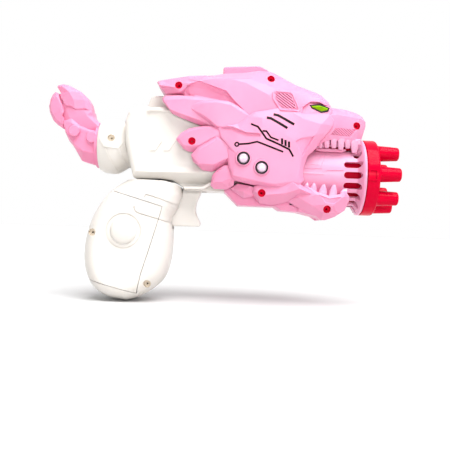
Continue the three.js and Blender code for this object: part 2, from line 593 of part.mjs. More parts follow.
function fanImpeller() {
  const nose = [[0, FAN.x0], [FAN.hubR, FAN.x0], [FAN.hubR, FAN.x1 - 1.5], [2.5, FAN.x1], [0, FAN.x1]];
  const hub = solid(turned(nose, AXIS_Z, 12));
  const blades = [];
  for (let i = 0; i < FAN.blades; i++) {
    const blade = new THREE.BoxGeometry(FAN.x1 - FAN.x0 - 1, 1.2, FAN.tipR - 2);
    blade.rotateZ(THREE.MathUtils.degToRad(35)).translate((FAN.x0 + FAN.x1) / 2, 0, (FAN.tipR + 2) / 2);
    blades.push(solid(blade.rotateX((2 * Math.PI * i) / FAN.blades).translate(0, 0, AXIS_Z)));
  }
  return cut(join(hub, ...blades), solid(axialBar(1.3, FAN.x0 - 2, FAN.x1 - 3, AXIS_Z, 8)));
}
piece("fan_impeller", fanImpeller(), RED);
piece("motor_shaft", axialBar(1, 53, FAN.x1 - 3.4, AXIS_Z, 8), STEEL);

const MOTOR = { x0: 52, x1: 77, r: 10, flat: 7.6 };
function motor() {
  const can = solid(axialBar(MOTOR.r, MOTOR.x0, MOTOR.x1, AXIS_Z, 24));
  const nose = solid(axialBar(3, MOTOR.x1 - 1, MOTOR.x1 + 1.5, AXIS_Z, 12));
  const { x0, x1, flat } = MOTOR;
  const waist = solid(block([x0 - 1, -flat, AXIS_Z - 20], [x1 + 3, flat, AXIS_Z + 20]));
  return cut(join(can, nose).intersect(waist), solid(axialBar(1.3, MOTOR.x0 + 0.7, MOTOR.x1 + 3, AXIS_Z, 8)));
}
piece("motor", motor(), STEEL);

// A spider that holds the motor in the middle of the barrel.
function motorMount() {
  const [x0, x1] = [60, 68];
  const rim = solid(sleeve(BARREL_BORE_R - GAP, 16.8, x0, x1, AXIS_Z, 24));
  const seat = solid(sleeve(12.4, 8, x0, x1, AXIS_Z, 24));
  const arms = [0, 1, 2].map((i) => {
    const arm = new THREE.BoxGeometry(x1 - x0, 2.4, 6).translate((x0 + x1) / 2, 0, 14.5);
    return solid(arm.rotateX((2 * Math.PI * i) / 3).translate(0, 0, AXIS_Z));
  });
  const can = solid(axialBar(MOTOR.r + GAP, 50, 80, AXIS_Z, 24)).intersect(
    solid(block([50, -MOTOR.flat - GAP, AXIS_Z - 20], [80, MOTOR.flat + GAP, AXIS_Z + 20])));
  return cut(join(rim, seat, ...arms), can);
}
piece("motor_mount", motorMount(), WHITE);

// ---- trigger and switch -------------------------------------------------------------------------

const PLUNGER = { x0: -16.8, x1: -11.2, r: 1.3, z: 95 };
const SWITCH = { x0: -13.6, x1: -4, half: 5, z0: 89, z1: 99 };

function trigger() {
  const lever = spreadSolid(TRIGGER, TRIGGER_HALF, 1);
  const fingerHollow = solid(crossBar(11, -10, 10, [-10.6, 64.6], 32));
  return cut(lever, fingerHollow, solid(crossBar(PIN_R + GAP, -10, 10, TRIGGER_PIVOT)));
}
piece("trigger", trigger(), WHITE);
piece("trigger_pin", crossBar(PIN_R, -PIN_HALF, PIN_HALF, TRIGGER_PIVOT), STEEL);

// A bent bar of round section.
function roundBar(points, radius, sides, steps) {
  const ring = new THREE.EllipseCurve(0, 0, radius, radius).getPoints(sides).slice(0, sides);
  const extrudePath = new THREE.CatmullRomCurve3(points);
  return new THREE.ExtrudeGeometry(new THREE.Shape(ring), { steps, extrudePath, bevelEnabled: false });
}

// A compression spring along X.
function coil({ x0, x1, z, radius, wire, turns }) {
  const steps = turns * 8;
  const points = [];
  for (let i = 0; i <= steps; i++) {
    const a = (2 * Math.PI * turns * i) / steps;
    const x = x0 + ((x1 - x0) * i) / steps;
    points.push(new THREE.Vector3(x, radius * Math.cos(a), z + radius * Math.sin(a)));
  }
  return roundBar(points, wire, 4, steps);
}
piece("trigger_spring", coil(SPRING), STEEL);

function switchBody() {
  const box = solid(block([SWITCH.x0, -SWITCH.half, SWITCH.z0], [SWITCH.x1, SWITCH.half, SWITCH.z1]));
  return cut(box, solid(axialBar(PLUNGER.r + GAP, SWITCH.x0 - 1, -8, PLUNGER.z, 10)));
}
piece("switch_body", switchBody(), DARK);
piece("switch_plunger", axialBar(PLUNGER.r, PLUNGER.x0, PLUNGER.x1, PLUNGER.z, 10), RED);

// ---- cells and contacts -------------------------------------------------------------------------

const bay = new THREE.Group();
bay.position.set(CELL_BAY.x, 0, CELL_BAY.z);
bay.rotation.y = THREE.MathUtils.degToRad(CELL_BAY.lean);
gun.add(bay);

function cell(nubUp) {
  const half = CELL_LENGTH / 2;
  const profile = [[0, -half], [CELL_R - 0.6, -half], [CELL_R, -half + 0.6], [CELL_R, half - 2.2],
    [CELL_R - 0.6, half - 1.6], [2.7, half - 1.6], [2.7, half], [0, half]];
  const geometry = new THREE.LatheGeometry(profile.map(([r, z]) => new THREE.Vector2(r, z)), 14);
  return geometry.rotateX(nubUp ? Math.PI / 2 : -Math.PI / 2);
}
for (const [i, [sx, sy]] of [[-1, -1], [1, -1], [-1, 1], [1, 1]].entries()) {
  const one = piece(`battery_${i + 1}`, cell(sx * sy > 0), CELL_COVER, bay);
  one.position.set((sx * CELL_PITCH) / 2, (sy * CELL_PITCH) / 2, 0);
}

const CONTACT = { half: 14.6, thick: 0.6, bumpR: 3.4, bumpTipR: 1.8, bump: 1.4 };

// A sheet across the ends of the cells with a bump for two of them; end is +1 above and -1 below.
function contactPlate(end) {
  const { half, thick, bumpR, bumpTipR, bump } = CONTACT;
  const face = end * (CELL_LENGTH / 2 + 1.6);
  const levels = [face, face + end * thick].sort((a, b) => a - b);
  const plate = solid(block([-half, -half, levels[0]], [half, half, levels[1]]));
  const [lower, upper] = end > 0 ? [bumpR, bumpTipR] : [bumpTipR, bumpR];
  const bumps = [-1, 1].map((s) => {
    const cone = new THREE.CylinderGeometry(lower, upper, bump, 12).rotateX(Math.PI / 2);
    return solid(cone.translate((s * CELL_PITCH) / 2, (s * end * CELL_PITCH) / 2, face - end * 0.5));
  });
  return join(plate, ...bumps);
}
piece("battery_contact_upper", contactPlate(1), STEEL, bay);
piece("battery_contact_lower", contactPlate(-1), STEEL, bay);

// ---- wires and screws ---------------------------------------------------------------------------

// An insulated wire through hand-placed points.
function wire(points, radius = 0.7) {
  return roundBar(points.map((point) => new THREE.Vector3(...point)), radius, 5, 3 * points.length);
}
const WIRES = {
  wire_battery_switch: [
    [-57, 9, 71], [-52, 10, 79], [-44, 10, 88], [-30, 9, 100], [-12, 8, 104], [-8, 3, 103], [-7, 0, 99.5],
  ],
  wire_switch_motor: [[-3.6, -2, 94], [2, -3, 93], [10, -4, 92], [22, -4, 91], [36, -4, 91], [51.6, -4, 91]],
  wire_battery_motor: [
    [-57, -9, 71], [-52, -10, 79], [-44, -10, 88], [-30, -12, 100], [-8, -12, 106], [16, 4, 104], [36, 6, 98],
    [51.6, 4.5, 94],
  ],
};
for (const [name, points] of Object.entries(WIRES)) {
  piece(name, wire(points), name === "wire_battery_motor" ? DARK : COPPER_WIRE);
}
for (const [name, spec] of Object.entries(SCREWS)) piece(name, screw(spec), STEEL);

export default gun;
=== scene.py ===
import json
import math

import bmesh
import bpy
from mathutils import Matrix, Vector
from mathutils.bvhtree import BVHTree
from mathutils.geometry import delaunay_2d_cdt

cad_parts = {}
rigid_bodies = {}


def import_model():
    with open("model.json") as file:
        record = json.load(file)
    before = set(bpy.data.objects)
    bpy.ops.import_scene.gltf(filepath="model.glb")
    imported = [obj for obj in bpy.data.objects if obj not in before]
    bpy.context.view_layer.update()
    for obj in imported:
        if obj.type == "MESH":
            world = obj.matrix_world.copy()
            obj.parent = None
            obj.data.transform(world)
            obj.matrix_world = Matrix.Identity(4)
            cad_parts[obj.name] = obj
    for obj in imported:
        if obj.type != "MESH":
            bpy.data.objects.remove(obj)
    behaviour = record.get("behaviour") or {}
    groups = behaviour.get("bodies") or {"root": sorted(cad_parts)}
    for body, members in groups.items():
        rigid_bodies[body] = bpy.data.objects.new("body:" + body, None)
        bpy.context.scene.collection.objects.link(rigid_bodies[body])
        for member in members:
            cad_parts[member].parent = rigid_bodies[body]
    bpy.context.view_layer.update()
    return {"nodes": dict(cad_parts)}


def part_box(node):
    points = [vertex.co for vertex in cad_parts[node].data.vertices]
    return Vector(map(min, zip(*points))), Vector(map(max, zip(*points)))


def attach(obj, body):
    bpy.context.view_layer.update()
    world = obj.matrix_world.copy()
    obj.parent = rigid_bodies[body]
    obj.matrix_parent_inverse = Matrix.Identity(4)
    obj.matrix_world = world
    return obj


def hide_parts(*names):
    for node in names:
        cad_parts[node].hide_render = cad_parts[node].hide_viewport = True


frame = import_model()

# The layout of the gun is in millimetres, (x, z, depth): x along the barrel, z up and depth out from the
# mid-plane to the left. The row frame starts under the middle of the length.
MM = 0.001
SHIFT_X = 4.55
SHIFT_Z = 0.9
AXIS_Z = 91.4
COLLAR_Z = 107.6


def at(x, z, depth=0.0, side=-1):
    """A layout point in the row frame; side is -1 on the left and +1 on the right."""
    return Vector(((x + SHIFT_X) * MM, side * depth * MM, (z + SHIFT_Z) * MM))


# ---- materials ---------------------------------------------------------------------------------


def noise_value(nodes, links, coords, scale, detail=3.0):
    noise = nodes.new("ShaderNodeTexNoise")
    noise.inputs["Scale"].default_value = scale
    noise.inputs["Detail"].default_value = detail
    links.new(coords, noise.inputs["Vector"])
    return noise.outputs["Fac"]


def spread(nodes, links, value, low, high):
    ranged = nodes.new("ShaderNodeMapRange")
    ranged.inputs["From Min"].default_value = 0.3
    ranged.inputs["From Max"].default_value = 0.7
    ranged.inputs["To Min"].default_value = low
    ranged.inputs["To Max"].default_value = high
    links.new(value, ranged.inputs["Value"])
    return ranged.outputs["Result"]


def moulded(name, color, dark, rough=(0.38, 0.5), bump=0.05, grain=2600, mottle=55, skin=0.0, glow=None,
            coat=0.0, metal=0.0, shine=0.5):
    """A moulded plastic or plated surface: a soft mottle, uneven gloss and a fine moulding texture."""
    material = bpy.data.materials.new(name)
    material.use_nodes = True
    nodes, links = material.node_tree.nodes, material.node_tree.links
    shader = nodes["Principled BSDF"]
    coords = nodes.new("ShaderNodeTexCoord").outputs["Object"]
    cloud = noise_value(nodes, links, coords, mottle)
    mix = nodes.new("ShaderNodeMix")
    mix.data_type = "RGBA"
    mix.inputs[6].default_value = (*dark, 1)
    mix.inputs[7].default_value = (*color, 1)
    links.new(spread(nodes, links, cloud, 0.0, 1.0), mix.inputs[0])
    links.new(mix.outputs[2], shader.inputs["Base Color"])
    gloss = noise_value(nodes, links, coords, mottle * 4)
    links.new(spread(nodes, links, gloss, *rough), shader.inputs["Roughness"])
    bumps = nodes.new("ShaderNodeBump")
    bumps.inputs["Strength"].default_value = bump
    bumps.inputs["Distance"].default_value = 0.0002
    links.new(noise_value(nodes, links, coords, grain, 2.0), bumps.inputs["Height"])
    links.new(bumps.outputs["Normal"], shader.inputs["Normal"])
    shader.inputs["Metallic"].default_value = metal
    shader.inputs["Specular IOR Level"].default_value = shine
    shader.inputs["Coat Weight"].default_value = coat
    shader.inputs["Coat Roughness"].default_value = 0.08
    if skin:
        shader.inputs["Subsurface Weight"].default_value = skin
        shader.inputs["Subsurface Radius"].default_value = glow
        shader.inputs["Subsurface Scale"].default_value = 0.0022
    return material


PINK_GLOW = (1.0, 0.32, 0.42)
WHITE_GLOW = (1.0, 0.9, 0.75)
pink = moulded("pink_satin", (0.74, 0.275, 0.43), (0.72, 0.25, 0.4), (0.36, 0.46), 0.05, skin=0.25,
               glow=PINK_GLOW, shine=0.3)
claw_pink = moulded("pink_claw", (0.74, 0.25, 0.4), (0.72, 0.23, 0.375), (0.38, 0.48), 0.05, skin=0.25,
                    glow=PINK_GLOW, shine=0.3)
barrel_pink = moulded("pink_glossy", (0.74, 0.33, 0.48), (0.72, 0.31, 0.46), (0.16, 0.24), 0.02, skin=0.25,
                      glow=PINK_GLOW, shine=0.2)
tooth_pink = moulded("pink_teeth", (0.7, 0.33, 0.48), (0.68, 0.3, 0.45), (0.25, 0.35), 0.03, skin=0.3,
                     glow=PINK_GLOW)
white = moulded("white_satin", (0.68, 0.645, 0.605), (0.665, 0.63, 0.585), (0.3, 0.42), 0.05, skin=0.2,
                glow=WHITE_GLOW, shine=0.35)
red = moulded("red_glossy", (0.58, 0.0, 0.026), (0.53, 0.0, 0.022), (0.16, 0.24), 0.02, shine=0.05)
red_inside = moulded("red_inside", (0.46, 0.0, 0.02), (0.4, 0.0, 0.016), (0.3, 0.45), 0.05, shine=0.04)
# Red of the collars lining the head's screw wells: painted shade and red bounce light of the deep pink
# holes, not a red part of the toy.
well_red = moulded("well_red", (0.66, 0.0, 0.03), (0.6, 0.0, 0.024), (0.4, 0.6), 0.05, shine=0.05)
well_beige = moulded("well_beige", (0.68, 0.6, 0.5), (0.64, 0.56, 0.45), (0.4, 0.6), 0.05, shine=0.2)
ink = moulded("trace_ink", (0.012, 0.006, 0.008), (0.007, 0.004, 0.005), (0.5, 0.65), 0.08, mottle=220,
              shine=0.1)
bezel_black = moulded("bezel_black", (0.02, 0.015, 0.017), (0.012, 0.009, 0.01), (0.3, 0.42), 0.04,
                      shine=0.15)
eye_green = moulded("eye_green", (0.26, 0.48, 0.0), (0.18, 0.38, 0.0), (0.2, 0.3), 0.03, mottle=260,
                    shine=0.1)
pearl = moulded("lamp_pearl", (0.75, 0.62, 0.7), (0.66, 0.42, 0.56), (0.08, 0.16), 0.03, mottle=420,
                skin=0.4, glow=(1.0, 0.8, 0.9), coat=0.8)
# Steel screws of the head tinted red: a painted reflection of the red light in their wells, not the steel's
# own colour.
red_reflection_screw = moulded("screw_in_red_well", (0.5, 0.012, 0.03), (0.36, 0.006, 0.016), (0.3, 0.45), 0.06,
                    metal=0.5, shine=0.2)
beige_screw = moulded("screw_in_beige_well", (0.5, 0.42, 0.3), (0.4, 0.33, 0.23), (0.3, 0.45), 0.06,
                      metal=0.5)
steel = moulded("plated_steel", (0.6, 0.6, 0.6), (0.42, 0.42, 0.43), (0.22, 0.38), 0.06, metal=1.0)
can_steel = moulded("rolled_steel", (0.48, 0.49, 0.5), (0.36, 0.37, 0.38), (0.3, 0.5), 0.1, mottle=120,
                    metal=1.0)
cell_green = moulded("cell_sleeve", (0.02, 0.12, 0.05), (0.012, 0.08, 0.03), (0.15, 0.28), 0.03, coat=0.4)
board = moulded("circuit_board", (0.01, 0.16, 0.05), (0.006, 0.1, 0.03), (0.3, 0.5), 0.1, mottle=300)
wire_red = moulded("wire_red", (0.5, 0.01, 0.01), (0.4, 0.008, 0.008), (0.3, 0.45), 0.05)
wire_black = moulded("wire_black", (0.02, 0.02, 0.02), (0.012, 0.012, 0.012), (0.3, 0.45), 0.05)
floor_paint = moulded("floor_paint", (0.61, 0.61, 0.61), (0.6, 0.6, 0.6), (0.7, 0.8), 0.02, grain=300,
                      mottle=3)


# ---- building blocks ---------------------------------------------------------------------------


def object_from(name, mesh_data):
    piece = bpy.data.objects.new(name, mesh_data)
    bpy.context.scene.collection.objects.link(piece)
    return piece


def from_bmesh(name, bm):
    bmesh.ops.recalc_face_normals(bm, faces=bm.faces)
    mesh = bpy.data.meshes.new(name)
    bm.to_mesh(mesh)
    bm.free()
    return object_from(name, mesh)


def baked(piece):
    """Applies the piece's modifiers."""
    depsgraph = bpy.context.evaluated_depsgraph_get()
    mesh = bpy.data.meshes.new_from_object(piece.evaluated_get(depsgraph))
    piece.modifiers.clear()
    old = piece.data
    piece.data = mesh
    bpy.data.meshes.remove(old)
    return piece


def boolean(piece, tool, operation="DIFFERENCE"):
    modifier = piece.modifiers.new("cut", "BOOLEAN")
    modifier.operation = operation
    modifier.solver = "EXACT"
    modifier.object = tool
    return baked(piece)


def removed(*pieces):
    for piece in pieces:
        bpy.data.objects.remove(piece)


def carve(piece, *tools):
    for tool in tools:
        boolean(piece, tool)
    removed(*tools)
    return piece


def cut_through(tool, *pieces):
    """Cuts one tool out of several pieces."""
    for piece in pieces:
        boolean(piece, tool)
    removed(tool)


def soften(piece, width=0.6, segments=2, angle=14.0):
    """Rounds the edges and shades the rest as flat moulded facets."""
    bevel = piece.modifiers.new("edges", "BEVEL")
    bevel.width = width * MM
    bevel.segments = segments
    bevel.limit_method = "ANGLE"
    bevel.angle_limit = math.radians(angle)
    baked(piece)
    return smooth(piece, 50)


def smooth(piece, angle=40.0):
    """Smooth shading, with edges sharper than the angle kept."""
    bm = bmesh.new()
    bm.from_mesh(piece.data)
    limit = math.radians(angle)
    for face in bm.faces:
        face.smooth = True
    for edge in bm.edges:
        if len(edge.link_faces) == 2:
            edge.smooth = edge.calc_face_angle(0.0) < limit
    bm.to_mesh(piece.data)
    bm.free()
    weighted = piece.modifiers.new("shade", "WEIGHTED_NORMAL")
    weighted.keep_sharp = True
    weighted.weight = 80
    return piece


def mended(piece):
    """Closes the pinholes that a cut can leave in a piece."""
    bm = bmesh.new()
    bm.from_mesh(piece.data)
    if any(not edge.is_manifold for edge in bm.edges):
        bmesh.ops.remove_doubles(bm, verts=bm.verts, dist=0.004 * MM)
        bmesh.ops.dissolve_degenerate(bm, edges=bm.edges, dist=0.002 * MM)
        bmesh.ops.holes_fill(bm, edges=[edge for edge in bm.edges if edge.is_boundary])
        bm.to_mesh(piece.data)
    bm.free()


def dressed(piece, material, body="root", replaces=()):
    mended(piece)
    piece.data.materials.clear()
    piece.data.materials.append(material)
    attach(piece, body)
    if replaces:
        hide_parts(*replaces)
    return piece


def mirrored(piece, name):
    """The same shape on the other side of the mid-plane."""
    bm = bmesh.new()
    bm.from_mesh(piece.data)
    for vertex in bm.verts:
        vertex.co.y = -vertex.co.y
    bmesh.ops.reverse_faces(bm, faces=bm.faces)
    return from_bmesh(name, bm)


def dressed_pair(left, right_name, material, angle=40.0):
    """Dresses a left-hand piece and its mirror image."""
    for piece in (left, mirrored(left, right_name)):
        dressed(smooth(piece, angle), material)


def closed_back(bm, back):
    """Drops a wall from the open rim of a plate to a flat back."""
    border = [edge for edge in bm.edges if edge.is_boundary]
    skirt = bmesh.ops.extrude_edge_only(bm, edges=border)["geom"]
    for item in skirt:
        if isinstance(item, bmesh.types.BMVert):
            item.co.y = -back * MM
    hem = [item for item in skirt if isinstance(item, bmesh.types.BMEdge) and item.is_boundary]
    bmesh.ops.contextual_create(bm, geom=hem)
    bmesh.ops.remove_doubles(bm, verts=bm.verts, dist=2e-6)
    bmesh.ops.dissolve_degenerate(bm, edges=bm.edges, dist=1e-6)


def faceted(name, outline, ridges=(), back=0.0):
    """A left-hand armour plate: facets between an outline and ridge lines, and a flat back."""
    points, index, edges = [], {}, []

    def place(point):
        key = (point[0], point[1])
        if key not in index:
            index[key] = len(points)
            points.append(point)
        return index[key]

    rim = [place(point) for point in outline]
    for line in ridges:
        places = [place(point) for point in line]
        edges += list(zip(places, places[1:]))
    flat = [Vector((x, z)) for x, z, depth in points]
    out_points, _, faces, origin, _, _ = delaunay_2d_cdt(flat, edges, [rim], 1, 1e-5)
    bm = bmesh.new()
    front = []
    for point, source in zip(out_points, origin):
        depth = points[source[0]][2] if source else crossing_depth(point, points, edges)
        front.append(bm.verts.new(at(point.x, point.y, depth)))
    for face in faces:
        bm.faces.new([front[i] for i in face])
    flat_angle = math.radians(2.5)
    bmesh.ops.dissolve_limit(bm, angle_limit=flat_angle, verts=bm.verts, edges=bm.edges, delimit={"NORMAL"})
    closed_back(bm, back)
    return from_bmesh(name, bm)


def crossing_depth(point, points, edges):
    """The depth where two ridge lines cross."""
    best = None
    for a, b in edges:
        pa, pb = Vector(points[a][:2]), Vector(points[b][:2])
        along = pb - pa
        t = max(0.0, min(1.0, (point - pa).dot(along) / along.length_squared))
        gap = (pa + along * t - point).length
        if best is None or gap < best[0]:
            best = (gap, points[a][2] + (points[b][2] - points[a][2]) * t)
    return best[1] if best else 20.0


def prism(name, outline, low, high, narrow=None):
    """A prism over an outline between two depths; narrow is the outline at the low depth."""
    bm = bmesh.new()
    inner = [bm.verts.new(at(x, z, low)) for x, z in (narrow or outline)]
    outer = [bm.verts.new(at(x, z, high)) for x, z in outline]
    bm.faces.new(inner)
    bm.faces.new(outer)
    count = len(outline)
    for i in range(count):
        j = (i + 1) % count
        bm.faces.new((inner[i], inner[j], outer[j], outer[i]))
    return from_bmesh(name, bm)


def lathe(name, profile, centre, axis="X", steps=96, closed=True):
    """Turns a closed [radius, place] profile about a line along X, or along Y through centre."""
    bm = bmesh.new()
    rings = []
    for radius, place in profile:
        ring = []
        count = 1 if radius < 1e-6 else steps
        for k in range(count):
            a = 2 * math.pi * k / steps
            c, s = radius * math.cos(a), radius * math.sin(a)
            if axis == "X":
                co = at(place, centre[1] + s, -c)
            else:
                co = at(centre[0] + c, centre[1] + s, place)
            ring.append(bm.verts.new(co))
        rings.append(ring)
    pairs = list(zip(rings, rings[1:]))
    if closed:
        pairs.append((rings[-1], rings[0]))
    for a, b in pairs:
        join_rings(bm, a, b, steps)
    bmesh.ops.remove_doubles(bm, verts=bm.verts, dist=1e-7)
    return from_bmesh(name, bm)


def join_rings(bm, a, b, steps):
    for k in range(steps):
        j = (k + 1) % steps
        if len(a) == 1 and len(b) == 1:
            return
        if len(a) == 1:
            bm.faces.new((a[0], b[k], b[j]))
        elif len(b) == 1:
            bm.faces.new((a[k], b[0], a[j]))
        else:
            bm.faces.new((a[k], b[k], b[j], a[j]))


def catmull(points, steps, closed=True):
    """A smooth line through layout points."""
    out = []
    n = len(points)
    for i in range(n if closed else n - 1):
        p = [points[(i + k) % n] if closed else points[max(0, min(n - 1, i + k))] for k in (-1, 0, 1, 2)]
        for s in range(steps):
            t = s / steps
            out.append(tuple(
                0.5 * (2 * p[1][c] + (p[2][c] - p[0][c]) * t
                       + (2 * p[0][c] - 5 * p[1][c] + 4 * p[2][c] - p[3][c]) * t * t
                       + (3 * p[1][c] - p[0][c] - 3 * p[2][c] + p[3][c]) * t ** 3)
                for c in range(len(p[1]))))
    return out if closed else out + [tuple(points[-1])]


def inset(outline, distance):
    """The outline moved inwards along its corner normals."""
    n = len(outline)
    area = sum(a[0] * b[1] - b[0] * a[1] for a, b in zip(outline, outline[1:] + outline[:1]))
    turn = 1 if area > 0 else -1
    moved = []
    for i in range(n):
        a, b, c = (Vector(outline[(i + k) % n][:2]) for k in (-1, 0, 1))
        along = ((b - a).normalized() + (c - b).normalized()).normalized()
        moved.append((b.x - turn * along.y * distance, b.y + turn * along.x * distance))
    return moved


def edge_distance(point, outline):
    """How far a point is from an outline, negative outside it."""
    x, z = point
    nearest, inside = 1e9, False
    for (ax, az), (bx, bz) in zip(outline, outline[1:] + outline[:1]):
        dx, dz = bx - ax, bz - az
        t = max(0.0, min(1.0, ((x - ax) * dx + (z - az) * dz) / max(1e-9, dx * dx + dz * dz)))
        nearest = min(nearest, math.hypot(ax + t * dx - x, az + t * dz - z))
        if (az > z) != (bz > z) and x < ax + (z - az) / (bz - az) * dx:
            inside = not inside
    return nearest if inside else -nearest


PILLOW_GRID = 5.0


def pillow_points(outline, edge, steps):
    """The outline, rings inside it over the shoulder, and a grid over the flat middle."""
    points = list(outline)
    for k in range(1, steps + 1):
        level = edge * (1 - math.cos(math.pi / 2 * k / steps))
        points += [p for p in inset(outline, level) if edge_distance(p, outline) > level - 0.02]
    xs, zs = zip(*outline)
    for i in range(int((max(xs) - min(xs)) / PILLOW_GRID) + 1):
        for j in range(int((max(zs) - min(zs)) / PILLOW_GRID) + 1):
            p = (min(xs) + PILLOW_GRID * i, min(zs) + PILLOW_GRID * j)
            if edge_distance(p, outline) > edge + PILLOW_GRID * 0.4:
                points.append(p)
    return points


def border_edges(faces):
    """The edges that only one face uses."""
    uses = {}
    for face in faces:
        for a, b in zip(face, list(face[1:]) + [face[0]]):
            key = (min(a, b), max(a, b))
            uses[key] = uses.get(key, 0) + 1
    return [edge for edge, count in uses.items() if count == 1]


def pillow(name, outline, half, wall, edge, steps=8, dome=0.0, low=None):
    """A solid over an outline: a straight wall, then an elliptic shoulder up to its full half depth."""
    outline = dense(outline, 2.5, closed=True)
    points = pillow_points(outline, edge, steps)
    rim = list(range(len(outline)))
    flat, _, faces, _, _, _ = delaunay_2d_cdt([Vector(p) for p in points], [], [rim], 1, 0.05)
    bm = bmesh.new()
    tops, bottoms = [], []
    for p in flat:
        gone = max(0.0, edge_distance((p.x, p.y), outline))
        shoulder = math.sqrt(max(0.0, 1 - (1 - min(1.0, gone / edge)) ** 2))
        depth = wall + (half - wall) * shoulder + dome * min(1.0, gone / (edge * 2.5))
        tops.append(bm.verts.new(at(p.x, p.y, depth)))
        bottoms.append(bm.verts.new(at(p.x, p.y, -depth if low is None else low)))
    for face in faces:
        bm.faces.new([tops[i] for i in face])
        bm.faces.new([bottoms[i] for i in reversed(face)])
    for a, b in border_edges(faces):
        bm.faces.new((tops[a], tops[b], bottoms[b], bottoms[a]))
    return from_bmesh(name, bm)


def bar(name, radius, x, z, low, high, steps=40):
    """A round bar along the depth direction."""
    return lathe(name, [(0, low), (radius, low), (radius, high), (0, high)], (x, z), "Y", steps,
                 closed=False)


class Skin:
    """Finds how far out the surface of some left-hand pieces lies."""

    def __init__(self, pieces):
        verts, faces = [], []
        depsgraph = bpy.context.evaluated_depsgraph_get()
        for piece in pieces:
            mesh = piece.evaluated_get(depsgraph).to_mesh()
            start = len(verts)
            verts += [v.co.copy() for v in mesh.vertices]
            faces += [[start + i for i in polygon.vertices] for polygon in mesh.polygons]
        self.tree = BVHTree.FromPolygons(verts, faces)

    def depth(self, x, z, fallback=20.0):
        origin = at(x, z, 80)
        hit = self.tree.ray_cast(origin, Vector((0, 1, 0)))[0]
        return -hit.y / MM if hit else fallback


def dense(points, gap=1.0, closed=False):
    """The line with points added so that none is much further than the gap from the next."""
    out = []
    ends = list(zip(points, points[1:])) + ([(points[-1], points[0])] if closed else [])
    for a, b in ends:
        a, b = Vector(a), Vector(b)
        steps = max(1, int((b - a).length / gap))
        out += [tuple(a.lerp(b, k / steps)) for k in range(steps)]
    return out if closed else out + [tuple(points[-1])]


def circle(centre, radius, steps):
    """Points round a circle in the side view."""
    turns = [2 * math.pi * k / steps for k in range(steps)]
    return [(centre[0] + radius * math.cos(a), centre[1] + radius * math.sin(a)) for a in turns]


def step_directions(path, i, closed):
    """The directions into and out of a point of a path."""
    n = len(path)
    here = Vector(path[i])
    before = Vector(path[(i - 1) % n] if closed else path[max(0, i - 1)])
    after = Vector(path[(i + 1) % n] if closed else path[min(n - 1, i + 1)])
    into = (here - before).normalized() if (here - before).length > 1e-6 else (after - here).normalized()
    out = (after - here).normalized() if (after - here).length > 1e-6 else into
    return into, out


def strip(name, skin, line, width, low, high, gap=0.8, closed=False, taper=0.8):
    """A ribbon that follows the skin along a line, from low to high above it; its top is tapered."""
    path = dense(line, gap, closed)
    bm = bmesh.new()
    rings = []
    for i, point in enumerate(path):
        into, out = step_directions(path, i, closed)
        along = (into + out).normalized()
        across = Vector((-along.y, along.x)) * (width / 2 / max(0.5, along.dot(into)))
        ring = []
        for sign, level, share in ((-1, low, 1.0), (1, low, 1.0), (1, high, taper), (-1, high, taper)):
            p = Vector(point) + across * sign * share
            ring.append(bm.verts.new(at(p.x, p.y, skin.depth(p.x, p.y) + level)))
        rings.append(ring)
    for a, b in list(zip(rings, rings[1:])) + ([(rings[-1], rings[0])] if closed else []):
        for k in range(4):
            j = (k + 1) % 4
            bm.faces.new((a[k], b[k], b[j], a[j]))
    if not closed:
        bm.faces.new(rings[0])
        bm.faces.new(rings[-1])
    return from_bmesh(name, bm)


def pocket(name, skin, outline, depth, slope=0.4, out=3.0, gap=3.0):
    """A shallow pocket's tool: its floor follows the skin at the given depth."""
    rim = dense(outline, gap, closed=True)
    floor = inset(rim, slope)
    bm = bmesh.new()
    bottom = [bm.verts.new(at(x, z, skin.depth(*rim[i]) - depth)) for i, (x, z) in enumerate(floor)]
    surface = [bm.verts.new(at(x, z, skin.depth(x, z) + 0.02)) for x, z in rim]
    top = [bm.verts.new(at(x, z, skin.depth(x, z) + out)) for x, z in rim]
    n = len(rim)
    for a, b in ((bottom, surface), (surface, top)):
        for i in range(n):
            j = (i + 1) % n
            bm.faces.new((a[i], a[j], b[j], b[i]))
    for ring in (bottom, top):
        bmesh.ops.triangulate(bm, faces=[bm.faces.new(ring)])
    return from_bmesh(name, bm)


# ---- head --------------------------------------------------------------------------------------

# Points are (x, z, depth). Each plate has an outline and the ridge lines that its facets meet at.
CREST_EDGE = [
    (-29, 158.3, 0), (-11.5, 159.3, 0), (-4, 161.2, 0), (9, 162.3, 0), (21.5, 164.8, 0), (30, 163.8, 0),
    (35.5, 160.8, 0), (46, 154.8, 0), (59.5, 149.8, 0), (64.2, 147.2, 0), (69.5, 142, 0),
    (70.8, 138.4, 0)]
SKULL = CREST_EDGE + [(69.6, 138, 20.5), (65, 138.7, 22.6), (62, 140.2, 23.6), (55.5, 140.2, 24.6),
                      (50, 136, 26.6), (50, 127, 26.5), (17, 122, 27), (13, 127, 28.5), (9, 133, 28.5),
                      (3, 138.5, 28), (-2.5, 145, 27), (-9, 147.5, 25.5), (-21, 152, 23),
                      (-28, 153, 21.5), (-30, 156, 17)]
SKULL_RIDGES = [
    [(-28.5, 157.3, 14), (-11.5, 158.3, 14), (-4, 160, 13.5), (9, 161, 13), (21.5, 163.4, 12),
     (29.5, 162.4, 12), (35, 159.3, 13.5), (45.5, 153.2, 16), (59, 148.2, 18), (63.5, 145.8, 19),
     (68.3, 141.2, 20), (69.6, 138, 20.5)],
    [(-21, 152, 23), (-14.5, 153.5, 23.5), (0.5, 154.2, 24.5), (11, 151.3, 26), (19, 147, 27.4),
     (27, 143, 28.2), (29.5, 138, 28.4), (32.5, 132, 28.2), (50, 127, 26.5)],
    [(0.5, 154.2, 24.5), (13, 154.5, 23.4), (24, 151, 24.4), (31, 147.5, 25.8), (42.5, 147, 24.4),
     (50, 136, 26.6)],
    [(42.5, 147, 24.4), (54, 145, 23.2), (62.5, 142.6, 22.4)],
]
